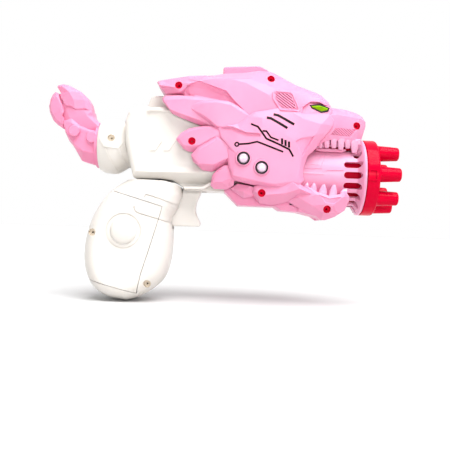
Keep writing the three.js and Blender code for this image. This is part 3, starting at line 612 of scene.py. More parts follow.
RECESS = [
    (-31, 149.5, 21), (-24, 152.5, 22), (-9, 149.5, 24.2), (-1, 146, 25.8), (9, 136, 27),
    (13, 129, 27.4), (0, 134, 26.4), (-14, 138.5, 24.4), (-31, 141.5, 20)]
RECESS_RIDGES = [
    [(-27, 148.5, 20.4), (-14, 146.6, 21.6), (-4.5, 143.4, 23.6), (9, 136, 27)],
    [(-27, 148.5, 20.4), (-24, 143, 19.6), (-8, 140, 22.6), (0, 134, 26.4)],
]
BLADE_UPPER = [
    (-51.3, 152.8, 12), (-49.3, 154.2, 9), (-39, 156.6, 7), (-28, 158.2, 6), (-16, 158.8, 6),
    (-14, 153.6, 22.5), (-24, 151.3, 22.8), (-28.8, 148.6, 22.8), (-24.2, 142.6, 21.5),
    (-32.8, 143.2, 18.5), (-44.5, 143.8, 16.5), (-47.8, 147.8, 16.5)]
BLADE_UPPER_RIDGES = [
    [(-51.3, 152.8, 12), (-48.5, 153.2, 15.5), (-28.5, 156.4, 18), (-16, 157.4, 17.5),
     (-14, 153.6, 22.5)],
    [(-48.5, 148.8, 20.5), (-37, 147.3, 22.3), (-29.8, 150.4, 23), (-24, 151.3, 22.8)],
    [(-51.3, 152.8, 12), (-48.5, 148.8, 20.5), (-47.8, 147.8, 16.5)],
    [(-37, 147.3, 22.3), (-33.6, 144, 22), (-32.8, 143.2, 18.5)],
    [(-33.6, 144, 22), (-28.8, 148.6, 22.8)],
]
BLADE_LOWER = [
    (-44, 141, 24), (-33.5, 141.4, 25), (-14, 139.8, 27), (0, 137, 27.5), (2, 122, 27.5),
    (-8, 119.5, 26.5), (-17.6, 121.2, 23.6), (-33, 126.6, 22.8), (-38.8, 129.2, 22.8),
    (-45.2, 136.8, 22.8), (-46, 139, 23)]
BLADE_LOWER_RIDGES = [
    [(-46, 139, 23), (-44.8, 137.8, 25), (-40, 131.4, 27), (-33.5, 128.8, 27.8), (-20, 124.6, 28),
     (-8, 119.5, 26.5)],
    [(-44.8, 137.8, 25), (-30, 138.5, 27.2), (-14, 137.5, 28.2), (2, 130, 28)],
]
LEAF = [
    (-26.8, 133.6, 26), (-24.5, 135.6, 27), (-17, 137.8, 28.8), (-9, 138.5, 29.4), (-2, 138, 29.5),
    (2, 136.8, 29.5), (9, 132.8, 29.6), (15, 127.5, 30), (15, 119, 30), (-8.5, 118.8, 27),
    (-13.5, 122, 25), (-18.8, 125, 25), (-25.3, 130.4, 25.5)]
LEAF_RIDGES = [
    [(-26.8, 133.6, 26), (-25, 131.6, 28.2), (-16.5, 127, 31), (-12.5, 124, 31.2), (-8, 120.4, 31.2),
     (4, 119, 31)],
    [(-25, 131.6, 28.2), (-17, 135.6, 30.4), (-9, 136.5, 31.2), (1, 135, 31.2), (8, 130.8, 31),
     (15, 127.5, 30)],
]
MANE_UPPER = [
    (-35.4, 111.4, 26), (-32, 115.8, 26.5), (-26.5, 118.9, 27.2), (-18, 120.5, 28), (-13, 120.9, 28.4),
    (-4, 120, 29), (-4, 112, 29), (-9.5, 112, 29), (-19.5, 105, 26.5), (-23, 103.2, 23.4),
    (-27, 103.6, 23.4), (-30.4, 105.4, 24.5)]
MANE_UPPER_RIDGES = [
    [(-35.4, 111.4, 26), (-30, 106.8, 28.4), (-20, 107.2, 29.4), (-9.5, 113.6, 30.2), (-4, 117, 30)],
    [(-30, 106.8, 28.4), (-33, 111.5, 28), (-26, 117, 28.8), (-14, 119.4, 29.6), (-4, 117, 30)],
]
MANE_MIDDLE = [
    (-24.8, 101, 26.5), (-20, 106.6, 28.2), (-9.5, 112.6, 29.6), (-7.5, 113.6, 30), (-4, 111.5, 30.5),
    (2, 107, 31), (3, 97, 30), (0, 95.6, 25), (-10, 90.2, 23.2), (-16.8, 91.2, 23.2), (-23.4, 97, 24.5)]
MANE_MIDDLE_RIDGES = [
    [(-24.8, 101, 26.5), (-22.6, 98.4, 28.6), (-19.3, 94.8, 29.6), (-9, 94.6, 30.6), (0.5, 99.4, 31.4),
     (2, 107, 31)],
    [(-22.6, 98.4, 28.6), (-19, 104.2, 29.8), (-8, 110.8, 31), (-4, 111.5, 30.5)],
]
MANE_LOWER = [
    (-10.9, 81, 24), (-9.8, 87.8, 26), (-7, 91.3, 26.5), (-2.6, 94.4, 28), (4, 95.5, 29), (6, 90, 29.5),
    (5, 81.5, 28.5), (0.5, 78.6, 24), (-8.5, 78.6, 22.8)]
MANE_LOWER_RIDGES = [
    [(-10.9, 81, 24), (-9, 83, 27.2), (-3.5, 83.2, 29), (3.4, 86, 30.2), (6, 90, 29.5)],
    [(-9, 83, 27.2), (-7.5, 89, 28)],
    [(-7.5, 89, 28), (-2.4, 93, 29.5), (4, 95.5, 29)],
    [(-3.5, 83.2, 29), (1, 79.6, 25.5)],
]
MANE_TIP = [
    (3.2, 79.4, 22.5), (7.5, 82.8, 25.5), (16, 81.4, 28), (20, 80, 28), (18.4, 74.6, 26),
    (12, 73.2, 23), (5, 77.8, 22)]
MANE_TIP_RIDGES = [
    [(7.5, 82.8, 25.5), (11.8, 77.2, 29), (18.4, 74.6, 26)],
    [(11.8, 77.2, 29), (3.2, 79.4, 22.5)],
    [(11.8, 77.2, 29), (12, 73.2, 23)],
]
CHEEK = [
    (-8.5, 120.4, 28.5), (-6, 113.6, 29), (-1.4, 108, 29.5), (-0.9, 105.3, 29.5), (0.6, 94.5, 30.5),
    (3.2, 87.5, 31.5), (4.2, 84.8, 29), (16, 82.3, 29), (25, 80.3, 28), (31, 79.6, 29), (42, 79.6, 31),
    (48, 81.6, 31.5), (52.3, 86, 29), (51.3, 89.6, 29.4), (51.8, 96, 29.2), (54.2, 102.8, 28.4),
    (59.5, 107.8, 27.4), (62.7, 113.2, 27), (67.2, 118.8, 26.4), (71.2, 123.3, 25.4),
    (71.8, 128.5, 24.4), (68.4, 132.6, 24.4), (60, 132.4, 25.3), (51, 131.4, 27.2), (44, 133.6, 28),
    (32, 134.3, 29), (17, 130.8, 30), (13, 128.6, 30), (6, 123.4, 29.6)]
CHEEK_RIDGES = [
    [(-6, 113.6, 29), (-4.6, 113.2, 31.2), (6.5, 101, 34.4), (20, 106.5, 35), (30.5, 99, 34.9),
     (30.2, 82.6, 34.3)],
    [(-0.9, 105.3, 29.5), (-0.2, 105.4, 31.4), (6.5, 101, 34.4)],
    [(-0.2, 105.4, 31.4), (3.9, 87.4, 33.6), (16, 85, 34.4), (30.2, 82.6, 34.3)],
    [(6.5, 101, 34.4), (3.9, 87.4, 33.6)],
    [(-4.6, 113.2, 31.2), (-6.6, 119.4, 30.6), (2.5, 120.8, 32.2), (8, 117.8, 33.6), (22, 116.6, 34.6),
     (28, 112.5, 35), (20, 106.5, 35)],
    [(-6.6, 119.4, 30.6), (6, 122.4, 31), (14, 127.4, 31.4), (22, 126.6, 33), (31, 119.6, 34.6),
     (28, 112.5, 35)],
    [(31, 119.6, 34.6), (44.5, 112.5, 34), (49.5, 100.8, 33), (47.8, 88.6, 33.2), (49, 84, 32.6)],
    [(30.2, 82.6, 34.3), (42, 93.4, 34.2), (44.3, 84.6, 34), (49, 84, 32.6)],
    [(42, 93.4, 34.2), (44.5, 112.5, 34)],
    [(30.5, 99, 34.9), (42, 93.4, 34.2)],
    [(14, 127.4, 31.4), (17, 129.8, 30.8), (32, 133, 29.8), (43.6, 131.6, 29.4), (51.5, 127, 31),
     (58.8, 117, 31.4), (44.5, 112.5, 34)],
    [(22, 126.6, 33), (43.6, 131.6, 29.4)],
    [(51.5, 127, 31), (62.5, 124.5, 29.6), (70, 124, 26.4)],
    [(58.8, 117, 31.4), (54, 108, 31), (49.5, 100.8, 33)],
    [(62.5, 124.5, 29.6), (58.8, 117, 31.4)],
    [(51.5, 127, 31), (60, 131, 26.6), (68.5, 131, 25.4), (70, 124, 26.4)],
]
JAW_ROOT = [
    (17.6, 76.4, 26), (18.6, 81.2, 29), (24, 82.2, 30), (31, 83.2, 31), (42, 92, 31.5), (47, 89, 31),
    (50, 83, 31), (58.5, 78.6, 27.5), (62, 74.4, 24), (51, 74, 22), (32.5, 69.2, 21), (23, 70.1, 21.5)]
JAW_ROOT_RIDGES = [
    [(17.6, 76.4, 26), (19, 77.8, 30), (22.5, 75, 32), (39.5, 76.8, 33.4), (49, 80.2, 33.2),
     (56.5, 77.6, 29.5), (62, 74.4, 24)],
    [(19, 77.8, 30), (19.8, 81, 30.6)],
    [(42, 92, 31.5), (44, 84.2, 34), (49, 80.2, 33.2)],
    [(31, 83.2, 31), (39.5, 76.8, 33.4)],
]
JAW_FRONT = [
    (42, 72, 22), (47.5, 79.5, 27), (54, 82.8, 27), (62, 78.8, 27.4), (70, 76.5, 27.4), (77, 77.8, 27),
    (80.6, 80.4, 26.4), (83.8, 76.4, 25.4), (83.8, 73.6, 24.6), (81.4, 67, 22), (75.2, 62.5, 19.5),
    (69.2, 60.1, 17), (66.4, 59.9, 16.5), (62.4, 62.8, 19), (54, 66, 20)]
JAW_FRONT_RIDGES = [
    [(47.5, 79.5, 27), (49, 74.5, 28), (57, 75.6, 28.8), (60.8, 77, 28.8), (70, 74, 28.8),
     (79.4, 76, 27.8), (83.8, 73.6, 24.6)],
    [(57, 75.6, 28.8), (58.5, 69.5, 27.4), (54, 66, 20)],
    [(70, 74, 28.8), (66.5, 70.2, 28.6), (73, 69.8, 28)],
    [(73, 69.8, 28), (79.4, 76, 27.8)],
    [(58.5, 69.5, 27.4), (66.5, 64.6, 25), (76, 65.6, 24.6), (81.4, 67, 22)],
    [(73, 69.8, 28), (76, 65.6, 24.6)],
    [(58.5, 69.5, 27.4), (66.5, 70.2, 28.6)],
    [(66.5, 64.6, 25), (66.4, 59.9, 16.5)],
]
SNOUT = [
    (60, 139.8, 0), (70.5, 140, 0), (82, 139.4, 0), (90, 137.4, 0), (94.8, 135, 0), (97.8, 131, 0),
    (97.9, 127, 0), (95.4, 118, 0), (94, 115.6, 0), (91.5, 114.9, 13), (86.5, 114.2, 18.4),
    (80.5, 114.2, 20.6), (77, 114.6, 21.6), (70, 115.1, 22.6), (66, 113.8, 23), (62, 110.5, 23),
    (54, 108, 22), (54, 133, 24)]
SNOUT_RIDGES = [
    [(60, 138.6, 16), (70.5, 138.7, 13.5), (82, 138, 11.5), (89.5, 136, 10.5), (93.7, 133.8, 10),
     (96.4, 130.3, 9.6), (96.5, 126.7, 9.6), (93.8, 118.2, 11), (91.5, 114.9, 13)],
    [(54, 133, 24), (68.5, 131.2, 24), (73.8, 132.4, 22), (82, 131.8, 19.6), (91, 131.4, 15.4),
     (96.4, 130.3, 9.6)],
    [(68.5, 131.2, 24), (71.6, 126.6, 24), (70.5, 123.6, 24), (89.5, 124, 17.6), (93.8, 118.2, 11)],
    [(91, 131.4, 15.4), (89.5, 124, 17.6)],
    [(70.5, 123.6, 24), (68.4, 117.4, 23.6), (77, 117.2, 22.6), (85, 117.4, 20), (90.5, 117.5, 15.6)],
    [(89.5, 124, 17.6), (85, 117.4, 20)],
]
SOCKET = [
    (44, 142, 21), (56, 144, 16), (70.4, 141, 13), (71.5, 136, 20), (70, 129, 23), (58, 128, 24.5),
    (46, 130, 26)]
SOCKET_RIDGES = [
    [(46, 137, 24), (54.5, 139.6, 23), (69, 137.6, 21.6)],
    [(54.5, 139.6, 23), (58, 132, 24.6)],
    [(69, 137.6, 21.6), (69.2, 132.4, 22.8)],
]
BELLY = [
    (-1.6, 78, 17), (8.4, 68.4, 16.5), (34.8, 68.3, 16.5), (38.5, 65.9, 15.5), (58, 64.5, 14.5),
    (60, 69.2, 14.5), (44, 69.6, 18), (44, 82, 18), (0, 82, 18)]
CHIN = [
    (50, 65.4, 18.5), (62.5, 62.6, 18), (68.5, 60.1, 16), (75, 62.6, 18), (81, 67, 20),
    (81.5, 69.3, 20), (50, 69.3, 20)]
BRIDGE = [(-43, 134.6, 22), (-43, 139.6, 22), (-20, 141.5, 20), (0, 141, 22), (13, 134.6, 22)]

# Each plate: outline, ridges, depth of its back, rounding of its edges.
PLATES = {
    "skull": (SKULL, SKULL_RIDGES, 0, 0.8),
    "recess": (RECESS, RECESS_RIDGES, 0, 0.5),
    "socket": (SOCKET, SOCKET_RIDGES, 0, 0.5),
    "blade_upper": (BLADE_UPPER, BLADE_UPPER_RIDGES, 0, 0.6),
    "blade_lower": (BLADE_LOWER, BLADE_LOWER_RIDGES, 22.4, 0.6),
    "leaf": (LEAF, LEAF_RIDGES, 22.4, 0.6),
    "mane_upper": (MANE_UPPER, MANE_UPPER_RIDGES, 22.4, 0.6),
    "mane_middle": (MANE_MIDDLE, MANE_MIDDLE_RIDGES, 22.4, 0.6),
    "mane_lower": (MANE_LOWER, MANE_LOWER_RIDGES, 22.4, 0.6),
    "mane_tip": (MANE_TIP, MANE_TIP_RIDGES, 16, 0.5),
    "cheek": (CHEEK, CHEEK_RIDGES, 22.4, 0.7),
    "jaw_root": (JAW_ROOT, JAW_ROOT_RIDGES, 14, 0.7),
    "jaw_front": (JAW_FRONT, JAW_FRONT_RIDGES, 12, 0.6),
    "snout": (SNOUT, SNOUT_RIDGES, 0, 0.7),
    "belly": (BELLY, [], 0, 0.6),
    "chin": (CHIN, [], 0, 0.6),
    "bridge": (BRIDGE, [], 0, 0.4),
}
CREST = [
    (-5, 160), (-5, 166.6), (-3.6, 167.4), (20.8, 168.8), (26, 166.5), (32, 161.5), (20, 158), (5, 158)]
BARREL_ROOM = [(0, 43.7), (21.7, 43.7), (21.7, 90.2), (27.5, 90.2), (27.5, 130), (0, 130)]


def make_plates():
    """The left-hand armour plates, with the space for the barrel cut out of them."""
    made = {}
    for name, (outline, ridges, back, _) in PLATES.items():
        made[name] = faceted("left_" + name, outline, ridges, back)
    room = lathe("barrel_room", BARREL_ROOM, (0, AXIS_Z), closed=False)
    cut_through(room, *(made[name] for name in ("jaw_front", "jaw_root", "cheek", "snout", "chin",
                                                "belly")))
    for name, (_, _, _, rounding) in PLATES.items():
        soften(made[name], rounding)
    return made


plates = make_plates()
head_skin = Skin(plates.values())
left_parts = []


def add_left(piece, material, slot):
    """Notes a left-hand piece, to be mirrored and dressed once the head is whole."""
    left_parts.append((piece, material, slot))


EAR_BORDER = [
    (29.8, 145.2), (31.4, 146.6), (41.4, 146.3), (43.4, 144.4), (47.6, 134.4), (46.8, 133.1),
    (35, 133.3), (29.7, 141)]
EAR_FIELD = [
    (31.2, 144.3), (32.3, 145.1), (40.7, 144.8), (42, 143.2), (45.7, 134.7), (35.7, 134.9),
    (31.2, 141.3)]
SNOUT_FIELD = [(73.4, 123.2), (88.2, 123.4), (84, 118.2), (70, 118.4)]
TRIANGLE = [(45, 111.4), (48.2, 114), (58, 116), (49.8, 101.6)]
BROW_SLOT = [(46, 140.6), (54, 141), (53.4, 138), (48.4, 137.6)]
CHIN_PANEL = [(62.5, 77), (69.8, 74.6), (78, 76), (73.5, 71.2), (67.4, 71.4)]
EYE = [(55.2, 138), (61.9, 138.9), (68.4, 136.6), (67.6, 134.5), (63.1, 133.3), (56.6, 136)]
EYE_CENTRE = (62, 136)
CHANNEL = [(-4.6, 119.4), (2.5, 118.5), (11.6, 114.9), (21.5, 114.7)]
CHANNEL_LIP = [(-2, 121.2), (3.4, 120.6), (12, 117.1), (20.5, 116.8)]
BLADE_SLOT = [(-29.8, 149.2), (-28.2, 148.2), (-24, 142.2), (-26.6, 142.4)]


def rib_lines(field, slope, gap):
    """Parallel slanting lines clipped to a field."""
    lines = []
    xs = [x for x, _ in field]
    level = field[0][1]
    lead_in = 30
    for i in range(int((max(xs) - min(xs) + lead_in) / gap)):
        x0 = min(xs) - lead_in + i * gap
        hits = []
        for a, b in zip(field, field[1:] + field[:1]):
            # How far each end of the side lies above the line that starts at (x0, level).
            above_a = a[1] - slope * (a[0] - x0) - level
            above_b = b[1] - slope * (b[0] - x0) - level
            if above_a * above_b < 0:
                t = -above_a / (above_b - above_a)
                hits.append((a[0] + (b[0] - a[0]) * t, a[1] + (b[1] - a[1]) * t))
        if len(hits) == 2 and (Vector(hits[0]) - Vector(hits[1])).length > 2:
            a, b = (Vector(h) for h in hits)
            lines.append([tuple(a.lerp(b, 0.03)), tuple(a.lerp(b, 0.97))])
    return lines


def add_vents():
    """The slanting ribs in the sunk field behind the ear and in the one on the snout, and the ear field's
    border.
    """
    for i, line in enumerate(rib_lines(EAR_FIELD, -0.7, 2.6)):
        add_left(strip(f"left_ear_rib_{i}", head_skin, line, 0.85, -1.3, 0.35), pink, "pink_shell")
    for i, line in enumerate(rib_lines(SNOUT_FIELD, -0.75, 2.1)):
        add_left(strip(f"left_snout_rib_{i}", head_skin, line, 0.8, -1.1, 0.4), pink, "pink_shell")
    border = strip("left_ear_border", head_skin, EAR_BORDER, 1.5, -0.6, 0.8, closed=True)
    add_left(border, pink, "pink_shell")


def cut_pockets():
    """The sunk fields, the channel on the cheek and the slot in the upper blade."""
    carve(plates["skull"], pocket("ear_pocket", head_skin, EAR_FIELD, 1.3))
    carve(plates["snout"], pocket("snout_pocket", head_skin, SNOUT_FIELD, 1.1))
    carve(plates["cheek"], pocket("triangle_pocket", head_skin, TRIANGLE, 0.9, 0.6))
    carve(plates["cheek"], strip("channel_cut", head_skin, CHANNEL, 2.2, -1.1, 3.0, taper=1.0))
    carve(plates["jaw_front"], pocket("chin_pocket", head_skin, CHIN_PANEL, 0.5, 0.4))
    carve(plates["socket"], pocket("brow_pocket", head_skin, BROW_SLOT, 1.6, 0.3))
    carve(plates["blade_upper"], prism("slot_cut", BLADE_SLOT, 14, 30))
    lip = strip("left_channel_lip", head_skin, CHANNEL_LIP, 1.4, -0.5, 0.5)
    add_left(lip, pink, "pink_shell")


def add_eye():
    """A faceted gem in a dark border."""
    depth = head_skin.depth(*EYE_CENTRE)
    room = prism("eye_cut", inset(EYE, -0.5), depth - 0.9, 40)
    cut_through(room, plates["socket"], plates["cheek"], plates["snout"])
    border = prism("left_eye_border", inset(EYE, -0.4), depth - 1.5, depth + 0.2)
    add_left(soften(border, 0.3), bezel_black, "black_plastic")
    rim = [(x, z, depth + 0.1) for x, z in inset(EYE, 0.7)]
    ridge = [(57.8, 136.8, depth + 1.1), (62.4, 137.2, depth + 1.5), (66.4, 135.9, depth + 1.1)]
    gem = faceted("left_eye_gem", rim, [ridge], depth - 1.2)
    add_left(soften(gem, 0.15), eye_green, "eye_green")


# Ink traces on the cheek and forehead, an own pattern: line and width.
TRACES = {
    "upper": ([(15, 122.4), (19.6, 120.6), (25.5, 112.6), (33, 109.6), (41, 106), (43.8, 101.4)], 1.5),
    "branch": ([(22.8, 117.8), (25.4, 117.6), (28.4, 113.6), (33.6, 111.8)], 1.35),
    "lower": ([(7.6, 108.4), (14, 109), (19.4, 110.4), (28, 107.4), (37, 104.2)], 1.4),
    "slash_a": ([(25.4, 127), (28.2, 126.6), (39.4, 120.4)], 2.1),
    "slash_b": ([(29.9, 129.6), (33, 129), (44, 123.2)], 2.1),
}
TRACE_LOW = -0.3
TRACE_HIGH = 0.14


def add_trace(name, line, width, **options):
    trace = strip("left_trace_" + name, head_skin, line, width, TRACE_LOW, TRACE_HIGH, **options)
    add_left(trace, ink, "black_plastic")


def add_traces():
    for name, (line, width) in TRACES.items():
        add_trace(name, line, width)
    for i in range(3):
        x = 35.9 + 2.35 * i
        z = 111.2 - 0.95 * i
        add_trace(f"bar_{i}", [(x, z + 2), (x + 0.2, z - 2)], 1.7)
    add_trace("ring", circle((6, 108.3), 1.25, 16), 1.15, gap=0.3, closed=True)


LAMPS = {"rear": (10.7, 99.1), "front": (23, 93.3)}
LAMP_SEAT = [(4.35, 31), (5.6, 31), (5.5, 34.9), (5.1, 35.5), (4.35, 35.5)]
LAMP_BEZEL = [(3.4, 31), (4.3, 31), (4.3, 35.8), (4.15, 36.2), (3.85, 36.35), (3.55, 36.2), (3.4, 35.7)]
LAMP_LENS = [(0, 31), (3.35, 31), (3.35, 35), (3.05, 35.5), (2.3, 35.9), (1.2, 36.15), (0, 36.2)]


def add_lamps():
    """Each lamp has a pedestal, a dark bezel and a milky lens."""
    for name, centre in LAMPS.items():
        seat = lathe(f"left_lamp_seat_{name}", LAMP_SEAT, centre, "Y", 64)
        add_left(seat, pink, "pink_shell")
        bezel = lathe(f"left_lamp_bezel_{name}", LAMP_BEZEL, centre, "Y", 64)
        add_left(bezel, bezel_black, "black_plastic")
        lens = lathe(f"left_lamp_lens_{name}", LAMP_LENS, centre, "Y", 64, closed=False)
        add_left(lens, pearl, "pearl_lens")


def tooth(name, x, z, depth, width, height, tip, lean=0.0):
    """A tapered wedge with a flattened tip, growing up or down from its root."""
    thick = 3.4
    root_level = z - math.copysign(1.2, height)
    bm = bmesh.new()
    rings = []
    for level, half_x, half_y, shift in (
        (root_level, width / 2, thick / 2, 0.0),
        (z + height * 0.45, width / 2 * 0.84, thick / 2 * 0.9, lean * 0.35),
        (z + height, tip / 2, thick / 2 * 0.35, lean),
    ):
        ring = []
        for a, b in ((-1, -1), (0, -1.25), (1, -1), (1, 1), (0, 1.25), (-1, 1)):
            ring.append(bm.verts.new(at(x + shift + a * half_x, level, depth - b * half_y)))
        rings.append(ring)
    for a, b in zip(rings, rings[1:]):
        for i in range(6):
            j = (i + 1) % 6
            bm.faces.new((a[i], a[j], b[j], b[i]))
    bm.faces.new(rings[0])
    bm.faces.new(rings[-1])
    return soften(from_bmesh(name, bm), 0.35, 2, 20)


# Each tooth: x, z of its root, width, height (down if negative), width of its tip.
UPPER_TEETH = [
    (63.2, 112.6, 3.4, -3.2, 2), (67.6, 114.6, 4.2, -5, 2.7), (72.4, 115, 4.4, -5.4, 3),
    (77.4, 115, 4.8, -6.2, 3.2), (82.3, 114.6, 4.4, -4.6, 2.8), (87.3, 114.6, 5.6, -7.4, 3.4)]
LOWER_TEETH = [
    (54.2, 81.8, 3, 3.4, 0.6), (58.8, 79.6, 4.8, 5.4, 1.1), (65.4, 77.6, 5.8, 6.6, 1.6),
    (72.4, 76.8, 5.8, 7.4, 1.9)]
GUM = [(59, 117), (92, 117), (92, 113), (82, 111.2), (70, 111), (61, 109.2)]


def add_teeth():
    for i, (x, z, width, height, tip) in enumerate(UPPER_TEETH):
        depth = 20.6 - max(0, x - 76) * 0.3
        piece = tooth(f"left_upper_tooth_{i}", x, z, depth, width, height, tip, 0.4)
        add_left(piece, tooth_pink, "pink_shell")
    front = tooth("left_upper_tooth_front", 90.6, 115, 12.5, 3.6, -5.6, 1.8, 0.2)
    add_left(front, tooth_pink, "pink_shell")
    gum = soften(prism("left_upper_gum", GUM, 14.4, 17.6), 0.8, 3, 30)
    add_left(gum, tooth_pink, "pink_shell")
    for i, (x, z, width, height, tip) in enumerate(LOWER_TEETH):
        piece = tooth(f"left_lower_tooth_{i}", x, z, 24.8, width, height, tip, 0.8)
        add_left(piece, tooth_pink, "pink_shell")
    fang = tooth("left_fang", 79.4, 78.2, 24.6, 5.2, 3.6, 2.6, 1.6)
    add_left(fang, tooth_pink, "pink_shell")


add_vents()
cut_pockets()
add_eye()
add_traces()
add_lamps()
add_teeth()
for plate in plates.values():
    add_left(plate, pink, "pink_shell")

# The right side is mirrored before the wells are cut: the screws go in from the left only.
right_parts = []
for piece, material, slot in left_parts:
    twin = mirrored(piece, piece.name.replace("left_", "right_", 1))
    right_parts.append((twin, material, slot))

crest = prism("crest", CREST, -3.2, 3.2)
dressed(soften(crest, 0.8), pink)


# ---- screws and their wells --------------------------------------------------------------------


def screw_place(name):
    """A CAD screw's x and z, and the depths of its head and its point."""
    low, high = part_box(name)
    x = (low.x + high.x) / 2 / MM - SHIFT_X
    z = (low.z + high.z) / 2 / MM - SHIFT_Z
    return x, z, -low.y / MM, -high.y / MM


def make_screw(name, metal, body="root"):
    """A pan-head screw with a cross recess and a thread."""
    x, z, head, point = screw_place(name)
    shape = [(0, head), (0.9, head), (1.6, head - 0.25), (1.95, head - 0.8), (1.95, head - 1.6),
             (1.1, head - 1.7)]
    turns = 14
    pitch = (head - 1.7 - point - 1.5) / turns
    for i in range(turns):
        level = head - 1.7 - pitch * i
        shape += [(1.1, level - pitch * 0.3), (0.85, level - pitch * 0.8)]
    shape += [(0.8, point + 1.2), (0, point)]
    screw = lathe("made_" + name, shape, (x, z), "Y", 32, closed=False)
    for half_x, half_z in ((1.3, 0.27), (0.27, 1.3)):
        arm = [(x - half_x, z - half_z), (x + half_x, z - half_z), (x + half_x, z + half_z),
               (x - half_x, z + half_z)]
        carve(screw, prism("cross_arm", arm, head - 0.9, head + 1))
    dressed(smooth(screw, 35), metal, body, [name])


def well(name, targets, skin, material, metal, body="root"):
    """Cuts a screw's well through the pieces above it, lines it with a stepped collar and adds the screw."""
    x, z, head, _ = screw_place(name)
    top = skin.depth(x, z)
    cut_through(bar("well_cut", 2.6, x, z, head - 1.9, 60), *targets)
    step = max(top - 2.6, head + 0.2)
    rim = [(0.7, head - 0.2), (2.6, head - 1.8), (2.6, top - 0.7), (2.45, top - 0.6), (2.2, step),
           (0.7, step - 0.3)]
    # The collar takes the given material; in the pink head that is the red painted shade of the hole.
    lining = lathe(name.replace("screw", "well"), rim, (x, z), "Y", 40)
    dressed(smooth(lining, 35), material, body)
    make_screw(name, metal, body)


HEAD_WELLS = {
    "screw_blade": ["blade_upper"], "screw_crown": ["skull"], "screw_snout": ["snout"],
    "screw_mane": ["mane_upper"], "screw_cheek": ["jaw_root", "cheek"], "screw_jaw": ["jaw_front", "chin"],
}


def finish_head():
    """Cuts the wells, dresses both sides and hides the CAD nodes they stand in for."""
    for name, targets in HEAD_WELLS.items():
        # The head's wells get the red painted-shade lining and screws tinted with a painted red reflection.
        well(name, [plates[target] for target in targets], head_skin, well_red, red_reflection_screw)
    for piece, material, slot in left_parts + right_parts:
        dressed(smooth(piece, 50), material)
    for side in ("left", "right"):
        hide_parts(f"head_{side}")
        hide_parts(f"eye_{side}")
        for place in ("rear", "front"):
            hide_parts(f"lamp_bezel_{place}_{side}")
            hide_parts(f"lamp_lens_{place}_{side}")


finish_head()


# ---- barrel and nozzle -------------------------------------------------------------------------

SLOT_COUNT = 18
SLOT_HALF_WIDTH = 2.3
SLOT_FRONT_X = 92.7


def barrel_slot(name, turn, length):
    """A round-ended slot tool at an angle about the barrel's axis."""
    half = SLOT_HALF_WIDTH
    outline = []
    for centre, start in ((SLOT_FRONT_X - half, -0.5), (SLOT_FRONT_X - length + half, 0.5)):
        turns = [math.pi * (k / 8 + start) for k in range(9)]
        outline += [(centre + half * math.cos(a), half * math.sin(a)) for a in turns]
    bm = bmesh.new()
    rings = []
    for radius in (17.5, 29):
        ring = []
        for x, w in outline:
            y = -radius * math.cos(turn) + w * math.sin(turn)
            z = radius * math.sin(turn) + w * math.cos(turn)
            ring.append(bm.verts.new(at(x, AXIS_Z + z, -y)))
        rings.append(ring)
    bm.faces.new(rings[0])
    bm.faces.new(rings[1])
    for i in range(len(outline)):
        j = (i + 1) % len(outline)
        bm.faces.new((rings[0][i], rings[0][j], rings[1][j], rings[1][i]))
    return from_bmesh(name, bm)


# Turned profiles are (radius, x).
BARREL_WALL = [
    (19.4, 46), (21.3, 46), (21.3, 62), (21.3, 89.4), (21.6, 90.1), (22.6, 90.8), (24.4, 92), (26, 92.9),
    (26.7, 93.6), (26.9, 94.1), (26.9, 95.1), (26.6, 95.4), (20, 95.4), (19.4, 94.8)]
BARREL_LINES = {
    "a": [(52.6, 92), (66.3, 91.9), (68.4, 94.7), (80.2, 95)],
    "b": [(52.9, 98.4), (62.4, 98.4), (66.6, 108.2)],
    "c": [(52.9, 95.6), (64.6, 95.7), (69.4, 108)],
}


def make_barrel():
    """The barrel with its ring of slots and the raised lines on each side."""
    barrel = lathe("barrel_shell", BARREL_WALL, (0, AXIS_Z), steps=150)
    tools = []
    for i in range(SLOT_COUNT):
        turn = 2 * math.pi * i / SLOT_COUNT
        short = abs(math.sin(turn) - 0.64) < 0.05
        tools.append(barrel_slot(f"slot_{i}", turn, 5.6 if short else 12.3))
    carve(barrel, *tools)
    smooth(barrel, 30)
    skin = Skin([barrel])
    dressed(barrel, barrel_pink, replaces=["barrel"])
    for key, line in BARREL_LINES.items():
        rib = strip(f"barrel_line_{key}", skin, line, 1.0, -0.4, 0.38)
        dressed_pair(rib, f"barrel_line_{key}_right", barrel_pink)


LINER_ARCH = [(21.9, 62.6), (24.2, 62.6), (24.2, 88), (21.9, 88)]
MOUTH_RIM = [(61, 108.6), (64, 107.6), (79, 107.4), (82, 108.6), (82, 109.6), (61, 109.8)]


def make_liner():
    """The red arch behind the upper teeth, and the pink rim under them."""
    arch = lathe("liner_arch", LINER_ARCH, (0, AXIS_Z), steps=120)
    roof = prism("liner_keep", [(60, 109.4), (90, 109.4), (90, 120), (60, 120)], -30, 30)
    boolean(arch, roof, "INTERSECT")
    removed(roof)
    dressed(smooth(arch, 30), red_inside, replaces=["mouth_liner"])
    rim = soften(prism("left_mouth_rim", MOUTH_RIM, 12.9, 17.4), 0.35)
    dressed_pair(rim, "right_mouth_rim", pink, 50)


NOZZLE_CUP = [(24.9, 95.8), (26.5, 95.8), (26.9, 96.2), (26.9, 103.2), (26.6, 104), (26, 104.5),
              (25.2, 104.7), (0, 104.7), (0, 102.1), (17.4, 102.1), (17.4, 93.2), (19, 93.2),
              (19, 102.1), (24.9, 102.1)]
TUBE = [(0, 103), (5.9, 103.6), (5.8, 104.9), (5.5, 105.4), (5.4, 106), (4.75, 118.4), (4.5, 119.1),
        (4.0, 119.5), (0, 119.5)]
TUBE_BORE = [(0, 101), (3.7, 101), (3.7, 118.9), (4.0, 120.5), (0, 120.5)]
CENTRE_BORE = [(0, 101), (3.7, 101), (3.7, 106), (0, 106)]
TUBE_COUNT = 7
TUBE_CIRCLE = 20
TUBE_PHASE = 4
WINDOW = [(96.6, 95.2), (102, 95.2), (102, 88.3), (96.6, 88.3)]


